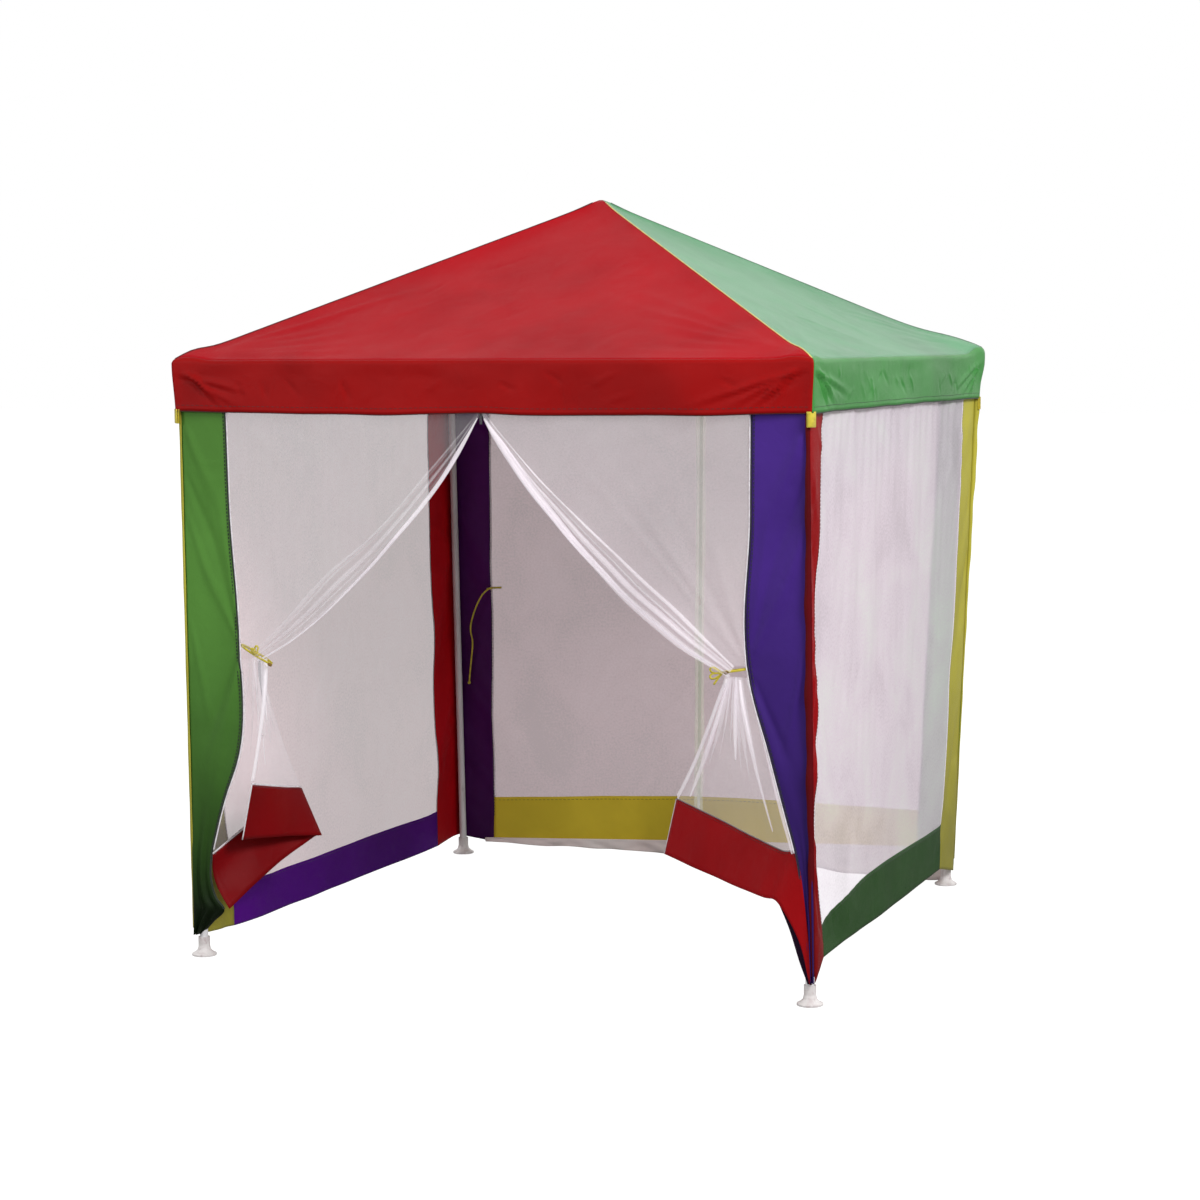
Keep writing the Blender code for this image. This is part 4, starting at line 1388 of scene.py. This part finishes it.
def front_points(x, height):
    """Points of the front wall's plane, at x and a height."""
    return wall_points("front", 0, np.asarray(x, float), np.asarray(height, float))


def corner_x(side, height):
    """x of the front wall's corner on a side."""
    return corner_at(f"front_{side}", height)[..., 0]


def strip_edge(side, height):
    """x of the inner edge of a front strip."""
    return corner_x(side, height) - SIGN[side] * smooth_profile(FRONT_EDGES[side], height)


# Drag folds that run from each tie: where they end in x and z, and their width and depth
TIE_FOLDS = (
    ((0.975, 0.42), 0.016, 0.0060), ((0.955, 0.62), 0.012, -0.0045),
    ((0.985, 0.20), 0.014, 0.0045), ((0.960, 1.30), 0.014, 0.0040),
    ((0.930, 1.45), 0.012, -0.0030), ((0.880, 1.50), 0.010, 0.0030),
    ((0.640, 1.52), 0.016, 0.0036), ((0.480, 1.58), 0.016, -0.0040),
    ((0.330, 1.62), 0.014, 0.0036), ((0.180, 1.66), 0.012, 0.0030),
)
TIE_FOLDS_START = (0.800, 0.965)
# Other drag folds: start, end, width and depth
FRONT_FOLDS = (
    ((0.985, 1.66), (0.850, 1.35), 0.016, 0.0042), ((0.980, 1.50), (0.845, 1.18), 0.014, -0.0038),
    ((0.985, 1.40), (0.860, 1.05), 0.012, 0.0034), ((0.830, 1.69), (0.50, 1.40), 0.018, 0.0036),
    ((0.800, 1.69), (0.30, 1.52), 0.016, -0.0034), ((0.975, 1.05), (0.90, 0.66), 0.010, 0.0040),
)


def front_sway(points, side):
    """How far the front wall's cloth stands out of its plane: waves and drag folds."""
    x, z = points[..., 0], points[..., 2]
    out = waves(x, z * 0.7, 400 + SIGN[side], 0.0022, 0.14, 0.6)
    mirror = np.array((SIGN[side], 1))
    for start, *fold in [(TIE_FOLDS_START, *fold) for fold in TIE_FOLDS] + list(FRONT_FOLDS):
        finish, width, depth = fold
        out += crease(x, z, start * mirror, finish * mirror, width, depth)
    inside = np.abs(corner_x(side, z)) - np.abs(x)
    held = smoothstep(0, 0.035, inside) * smoothstep(0, 0.05, WALL_TOP - z)
    return out * held


def swayed(points, side):
    """Points of the front wall's plane, with its waves and drag folds."""
    return points + OUTWARD["front"] * front_sway(points, side)[..., None]


def make_front_strip(side):
    """A front corner strip with its binding, its stitching and the net's selvedge."""
    sign, colour = SIGN[side], STRIP_COLOUR[side]
    rows, columns = STRIP_STEPS
    height, share = shares(np.linspace(WALL_TOP, STRIP_BOTTOM, rows), np.linspace(0, 1, columns))
    corner = corner_x(side, height)
    x = corner + (strip_edge(side, height) - corner) * share
    points = swayed(front_points(x, height), side)
    low = smoothstep(0.60, 0.10, height)
    points[..., 1] -= 0.006 * low * (1 + np.sin(share * math.pi * 5)) * (1 - share ** 4)
    points[..., 1] += 0.020 * smoothstep(0.17, STRIP_BOTTOM, height) * share ** 3
    piece = cloth_piece(f"front_strip_{side}", points, STRIP_LOOKS[colour],
                        [f"front_wall_strip_{side}"], thickness=CLOTH_THICKNESS, flip=sign > 0)
    edge = points[:, -1] + OUTWARD["front"] * 0.0008
    out = OUTWARD["front"]
    tape_piece(f"front_strip_{side}_binding", edge[edge[:, 2] > 0.15], out, 0.0055, 0.0022,
               THREADS[colour])
    inside = edge + (points[:, -3] - points[:, -1]) * 0.55
    stitch_line(f"front_strip_{side}_stitching", inside[edge[:, 2] > 0.30], out,
                THREADS[colour], f"{colour}_polyester", wide=0.0030)
    above_hem = edge[:, 2] > HEM_UPPER[side][HEM_TONGUE[side]][2] + 0.01
    beside = edge[above_hem] - np.array((sign * 0.0048, 0.0008, 0.0))
    tape_piece(f"front_strip_{side}_selvedge", beside, out, 0.0040, 0.0014, SELVEDGE)


def meander(folds, angle, count):
    """A cloth's cross-section thrown into folds that lap over each other: 0 to 1 across."""
    turn = np.linspace(0, 2 * math.pi * folds, count)
    bend = angle * np.sin(turn) * (1 + 0.16 * np.sin(0.37 * turn + 1.0))
    across = np.concatenate([[0], np.cumsum(np.cos(bend[:-1]))])
    out = np.concatenate([[0], np.cumsum(np.sin(bend[:-1]))])
    out -= np.linspace(0, out[-1], count)
    return across / across[-1], out / across[-1]


def door_upper(side):
    """Grids of the door above its tie: the flat net and the pleats pulled to the tie."""
    upper = smooth_line(PLEATS_UPPER[side], UPPER_ROWS)
    free = smooth_line(PLEATS_FREE[side], UPPER_ROWS)
    height = upper[:, 1]
    edge = strip_edge(side, height)
    share = np.linspace(0, 1, FLAT_COLUMNS)
    x = edge[:, None] + (upper[:, 0] - edge)[:, None] * share
    flat = swayed(front_points(x, np.broadcast_to(height[:, None], x.shape)), side)
    across, out = meander(DOOR_PLEATS, math.radians(112), PLEAT_COLUMNS)
    run = np.linspace(0, 1, UPPER_ROWS)[:, None]
    drift = 0.035 * np.sin(2 * math.pi * (1.3 * run + 0.8 * across))
    across = across + drift * across * (1 - across) * 4
    spread = free - upper
    place = upper[:, None, :] + spread[:, None, :] * across[..., None]
    pleats = swayed(front_points(place[..., 0], place[..., 1]), side)
    wide = np.linalg.norm(spread, axis=1)[:, None]
    depth = out * wide * (0.8 + 1.1 * smoothstep(0.35, 0.95, run))
    pleats[..., 1] -= depth + 0.002 * np.sin(31 * run) * smoothstep(0, 0.1, across)
    return flat, pleats


def hem_grid(side):
    """Grid of the hem band, columns from the strip to the free edge, and the tail's first one."""
    spans = len(HEM_UPPER[side]) - 1
    count = spans * HEM_SPAN_STEPS + 1
    upper, lower = (on_spans(np.array(line[side]), count) for line in (HEM_UPPER, HEM_LOWER))
    share = np.linspace(0, 1, HEM_ROWS)[:, None, None]
    points = upper + (lower - upper) * share
    out = unit(np.cross(np.gradient(points, axis=1), np.gradient(points, axis=0)))
    run = np.linspace(0, 1, count)
    ripple = 0.004 * np.sin(2 * math.pi * (2.3 * run + 0.1)) + 0.002 * np.sin(2 * math.pi * 6.1 * run)
    ripple = ripple * smoothstep(0, 0.12, run - HEM_TONGUE[side] / spans)
    ripple = ripple[None, :] * (0.5 + 0.5 * share[..., 0])
    points = points + out * ripple[..., None]
    behind = HEM_BULGE[side] * np.sin(math.pi * share[..., 0]) * (1 - smoothstep(0, 0.12, run))
    points[..., 0] -= behind
    points[..., 1] += 0.5 * behind
    return points, HEM_TONGUE[side] * HEM_SPAN_STEPS


def door_tail(side, hem_line):
    """Grid of the net below the tie, which fans out from its neck to the hem band."""
    sign = SIGN[side]
    rows, columns = TAIL_STEPS
    c = np.linspace(0, 1, columns)
    bottom = at_run(hem_line, c * run_along(hem_line)[-1])
    neck = np.stack([
        sign * (NECK[0] + NECK_HALF_WIDTH * (1 - 2 * c)),
        NECK[1] + 0.010 * np.sin(math.pi * c),
        np.full(columns, NECK[2]),
    ], 1)
    t = np.linspace(0, 1, rows)[:, None, None]
    sideways = 0.35 * t + 0.65 * t ** 1.5
    points = np.concatenate([
        neck[:, :2] + (bottom[:, :2] - neck[:, :2]) * sideways,
        np.broadcast_to(neck[:, 2:] + (bottom[:, 2:] - neck[:, 2:]) * t, (rows, columns, 1)),
    ], axis=-1)
    height = points[:, :1, 2]
    sewn = swayed(front_points(strip_edge(side, height), height), side)
    sewn = sewn + (bottom[0] - sewn[-1]) * t ** 3
    points = sewn + (points - sewn) * smoothstep(0, 0.16, c)[None, :, None]
    across = np.gradient(points, axis=1)
    out = unit(np.cross(across, np.gradient(points, axis=0)))
    aside = unit(across)
    turn = 2 * math.pi * TAIL_PLEATS * (c + 0.020 * np.sin(2 * math.pi * 2.2 * c)) + 0.6 * t[..., 0]
    fall = t[..., 0]
    deep = (0.009 + 0.008 * np.sin(math.pi * fall ** 0.8)) * (1 - fall) ** 0.7
    deep = deep * smoothstep(0, 0.10, c) * (0.8 + 0.3 * np.sin(7 * c + 1))
    points = points + out * (deep * np.sin(turn))[..., None]
    return points + aside * (0.42 * deep * np.sin(2 * turn))[..., None]


# What is sewn over the upper side of each hem band: look, slot and width
HEM_EDGES = {
    "left": (SELVEDGE, "white_net", 0.0065),
    "right": (THREADS["red"], "red_polyester", 0.0045),
}
ZIP_TAPE_WIDTH = {"left": 0.013, "right": 0.024}
# Where the turned-in free end of each door looks
FREE_END_FACING = {"left": (1.0, -0.2, 0.0), "right": (-0.67, -0.74, 0.0)}


def turns_with(piece):
    """Bakes a piece's placement into its mesh."""
    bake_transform(piece)


def make_door(side):
    """A door leaf, gathered and tied back: its net, hem band, seams, tapes and folds."""
    sign = SIGN[side]
    flat, pleats = door_upper(side)
    hem, first = hem_grid(side)
    tail = door_tail(side, hem[0, first:])
    grids = (flat, pleats, tail)
    vertices = np.vstack([grid.reshape(-1, 3) for grid in grids])
    faces, uvs, start = [], [], 0
    for grid in grids:
        faces += list(grid_faces(*grid.shape[:2], flip=sign > 0, start=start))
        uvs.append(grid_uvs(grid))
        start += grid.shape[0] * grid.shape[1]
    leaf = new_piece(f"door_{side}_net", vertices, faces, NETS[f"door_{side}"],
                     np.vstack(uvs))
    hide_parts(f"door_{side}_net_upper", f"door_{side}_net_tail")
    turns_with(leaf)

    band = cloth_piece(f"door_{side}_hem_band", hem, DOOR_HEM_LOOKS[side],
                       [f"door_{side}_hem"], body=None, thickness=BAND_THICKNESS, flip=sign > 0)
    turns_with(band)
    facing = unit(np.cross(np.gradient(hem[0], axis=0), hem[1] - hem[0]))
    down = unit(hem[1] - hem[0])
    look, slot, width = HEM_EDGES[side]
    edge = hem[0, first:] - down[first:] * width / 3
    selvedge = tape_piece(f"door_{side}_hem_selvedge", edge, facing[first:], width, 0.0018,
                          look, None)
    turns_with(selvedge)
    seam = (hem[0] + down * 0.006)[first:]
    sewn = stitch_line(f"door_{side}_hem_stitching", seam, facing[first:].mean(0), THREADS["red"],
                       "red_polyester", lift=0.0016, body=None, **HEM_STITCH)
    turns_with(sewn)
    make_zip_tapes(side, pleats[:, -1], tail[:, -1], hem[:, -1])
    make_tail_folds(side, tail)


# Where folds lie on each other in the tails: share across, first and last share down, width
TAIL_FOLDS = {
    "left": ((0.93, 0.08, 0.62, 0.016), (0.80, 0.00, 0.50, 0.012), (0.35, 0.02, 0.70, 0.010)),
    "right": ((0.07, 0.00, 1.00, 0.024), (0.14, 0.02, 0.90, 0.014), (0.90, 0.00, 0.95, 0.014),
              (0.45, 0.00, 0.55, 0.012)),
}


# Obliquely from the front and right, the way the tails' folds face
FRONT_RIGHT_WAY = np.array((0.35, -0.94, 0.0))


def make_tail_folds(side, tail):
    """Narrow folds of the tail's net, which lie double and glow a little as painted light, and so
    look whiter.
    """
    rows, columns = tail.shape[:2]
    parts = []
    for across, first, last, width in TAIL_FOLDS[side]:
        column = int(across * (columns - 1))
        line = tail[int(first * rows):int(last * (rows - 1)), column][::2]
        beside = tail[int(first * rows):int(last * (rows - 1)), max(0, column - 6)][::2]
        share = np.linspace(0, 1, len(line))
        facing = unit(np.cross(np.gradient(line, axis=0), beside - line))
        facing *= np.sign(facing @ FRONT_RIGHT_WAY)[:, None]
        wide = width * np.sin(math.pi * np.clip(0.12 + 0.80 * share, 0, 1)) ** 0.8
        parts.append(ribbon_parts(line + facing * 0.004, facing, wide, 0.0010))
    folds = part_piece(f"door_{side}_tail_folds", parts, NETS["folds"], body=None)
    turns_with(folds)


def make_zip_tapes(side, upper_edge, tail_edge, hem_edge):
    """Half of the parted zip, sewn along the door's free edge down to the hem's corner."""
    below_slider = upper_edge[:, 2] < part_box("front_zip_slider")[0].z + 0.004
    line = upper_edge[below_slider][::2] + OUTWARD["front"] * 0.004
    run = np.linspace(0, 1, len(line))
    wide = ZIP_TAPE_WIDTH[side] * smoothstep(-0.05, 0.12, run)
    wide = wide * (1 - 0.65 * smoothstep(0.25, 0.8, run))
    line[:, 0] += SIGN[side] * wide * 0.30
    tape_piece(f"door_{side}_zip_tape", line, OUTWARD["front"], wide, 0.0014,
               NETS["tape"])
    facing = FREE_END_FACING[side]
    for name, edge, look, width in (("low", tail_edge[::3], NETS["tape"], 0.0150),
                                    ("hem", hem_edge, SELVEDGE, 0.0036)):
        tape = tape_piece(f"door_{side}_zip_tape_{name}", edge, facing, width, 0.0020,
                          look, None)
        turns_with(tape)


# Each tie: where it leaves the strip, its far end, its knot, and its bow's ears and ends
TIES = {
    "left": ((-0.806, -0.974, 0.972), (-0.704, -0.972, 0.916), (-0.704, -0.974, 0.916),
             (-0.748, -0.977, 0.946), ((0.2, 1.0, 0.026), (-0.55, 0.8, 0.022)), ((0.9, 0.3, 0.014),)),
    "right": ((0.802, -0.974, 0.958), (0.712, -0.972, 0.943), (0.740, -0.976, 0.946),
              (0.728, -0.977, 0.944), ((-1.0, 0.35, 0.034), (-1.0, -0.35, 0.034)),
              ((-0.8, -0.9, 0.030), (-0.95, 0.75, 0.026))),
}


def make_tie(side):
    """A yellow tape from the strip round the gathered door, with a knot and a small bow."""
    start, end, knot, bow, ears, tails = TIES[side]
    start, end, knot, bow = (np.array(place) for place in (start, end, knot, bow))
    inward = np.array((0.0, 1.0, 0.0))
    half = (end - start) / 2
    middle = (start + end) / 2 + inward * 0.0130
    turn = np.linspace(0, 2 * math.pi, 57)
    loop = middle + np.outer(np.cos(turn), half) - np.outer(0.0150 * np.sin(turn), inward)
    facing = np.outer(np.cos(turn) * 0.0150, half) - np.outer(np.sin(turn) * 0.0550, inward)
    parts = [ribbon_parts(loop, facing, 0.0068, 0.0014)]
    for aside, up, length in ears:
        way = np.array((aside, 0.0, up))
        across = np.array((-up, 0.0, aside))
        opened = np.linspace(0, 2 * math.pi, 21)[:, None]
        line = bow + way * length * np.sin(opened / 2) + across * length * 0.20 * np.sin(opened)
        line = line - inward * (0.001 + 0.004 * np.sin(opened / 2))
        parts.append(ribbon_parts(line, -inward + 0.5 * across * np.cos(opened / 2), 0.0056, 0.0011))
    for aside, up, length in tails:
        run = np.linspace(0, 1, 9)[:, None]
        line = bow + np.array((aside, -0.1, up)) * length * run - np.array((0, 0, 0.006)) * run ** 2
        parts.append(ribbon_parts(line, -inward, 0.0058, 0.0011))
    part_piece(f"door_{side}_tie_tape", parts, TAPE, replaces=[f"door_{side}_tie"])
    ball = np.linspace(0, math.pi, 9)
    line = knot - np.outer(0.0072 * np.cos(ball), unit(half))
    part_piece(f"door_{side}_tie_knot", [tube_parts(line, 0.0008 + 0.0046 * np.sin(ball), 10)],
               KNOT)


# What is sewn along a corner's seam: look, slot, facing, width at the top, middle and bottom,
# and how far out and aside it lies, the latter as a share of its width
CORNER_BINDINGS = {
    "front_left": (STRIP_LOOKS["yellow"], "yellow_polyester", (-0.35, -0.94, 0.0),
                   (0.0095, 0.0095, 0.0095), 0.0030, 0.0),
    # Painted shade: the front right band is dark red, for the shaded half of the right wall's red
    # strip where it folds at the corner
    "front_right": (polyester("binding_red", linear(92, 6, 14)), "red_polyester", (0.35, -0.94, 0.0),
                    (0.0120, 0.0210, 0.0120), 0.0035, -0.40),
    "back_right": (STRIP_LOOKS["yellow"], "yellow_polyester", (0.36, -0.93, 0.0),
                   (0.0200, 0.0070, 0.0020), 0.0, 0.46),
}


def make_corner_bindings():
    """The bindings along three of the corners' seams; the front right one is a dark red band of
    painted shade.
    """
    for corner, (look, slot, facing, widths, out, aside) in CORNER_BINDINGS.items():
        height = np.linspace(VALANCE_BOTTOM - 0.003, STRIP_BOTTOM + 0.02, 90)
        wide = smooth_profile(zip((height[0], height[0] / 2, height[-1]), widths), height)
        wide = wide * (1 + 0.10 * np.sin(height * 23) + 0.06 * np.sin(height * 51))
        line = np.concatenate([corner_at(corner, height), height[:, None]], axis=1)
        facing = np.array(facing)
        line = line + facing * out + np.cross((0.0, 0.0, 1.0), facing) * aside * wide[:, None]
        tape_piece(f"corner_binding_{corner}", line, facing, wide, 0.0014, look)


def make_right_tuck():
    """The inner fold of the right strip, near-black as painted shade, which shows below the hem
    band's tongue.
    """
    outer = smooth_line([(0.884, -0.944, 0.292), (0.918, -0.946, 0.215), (0.946, -0.947, 0.130),
                         (0.972, -0.948, 0.064)], 40)
    inner = smooth_line([(0.925, -0.944, 0.300), (0.955, -0.946, 0.215), (0.972, -0.947, 0.130),
                         (0.984, -0.948, 0.064)], 40)
    share = np.linspace(0, 1, 9)[None, :, None]
    points = outer[:, None] + (inner - outer)[:, None] * share
    points[..., 1] += 0.004 * np.sin(share[..., 0] * math.pi * 2)
    tuck = cloth_piece("front_strip_right_tuck", points, TUCK,
                       thickness=CLOTH_THICKNESS)


def make_front():
    """The front wall: strips, tied doors and what is sewn on their corners."""
    for side in SIGN:
        make_front_strip(side)
        make_door(side)
        make_tie(side)
    make_corner_bindings()
    make_right_tuck()


make_front()
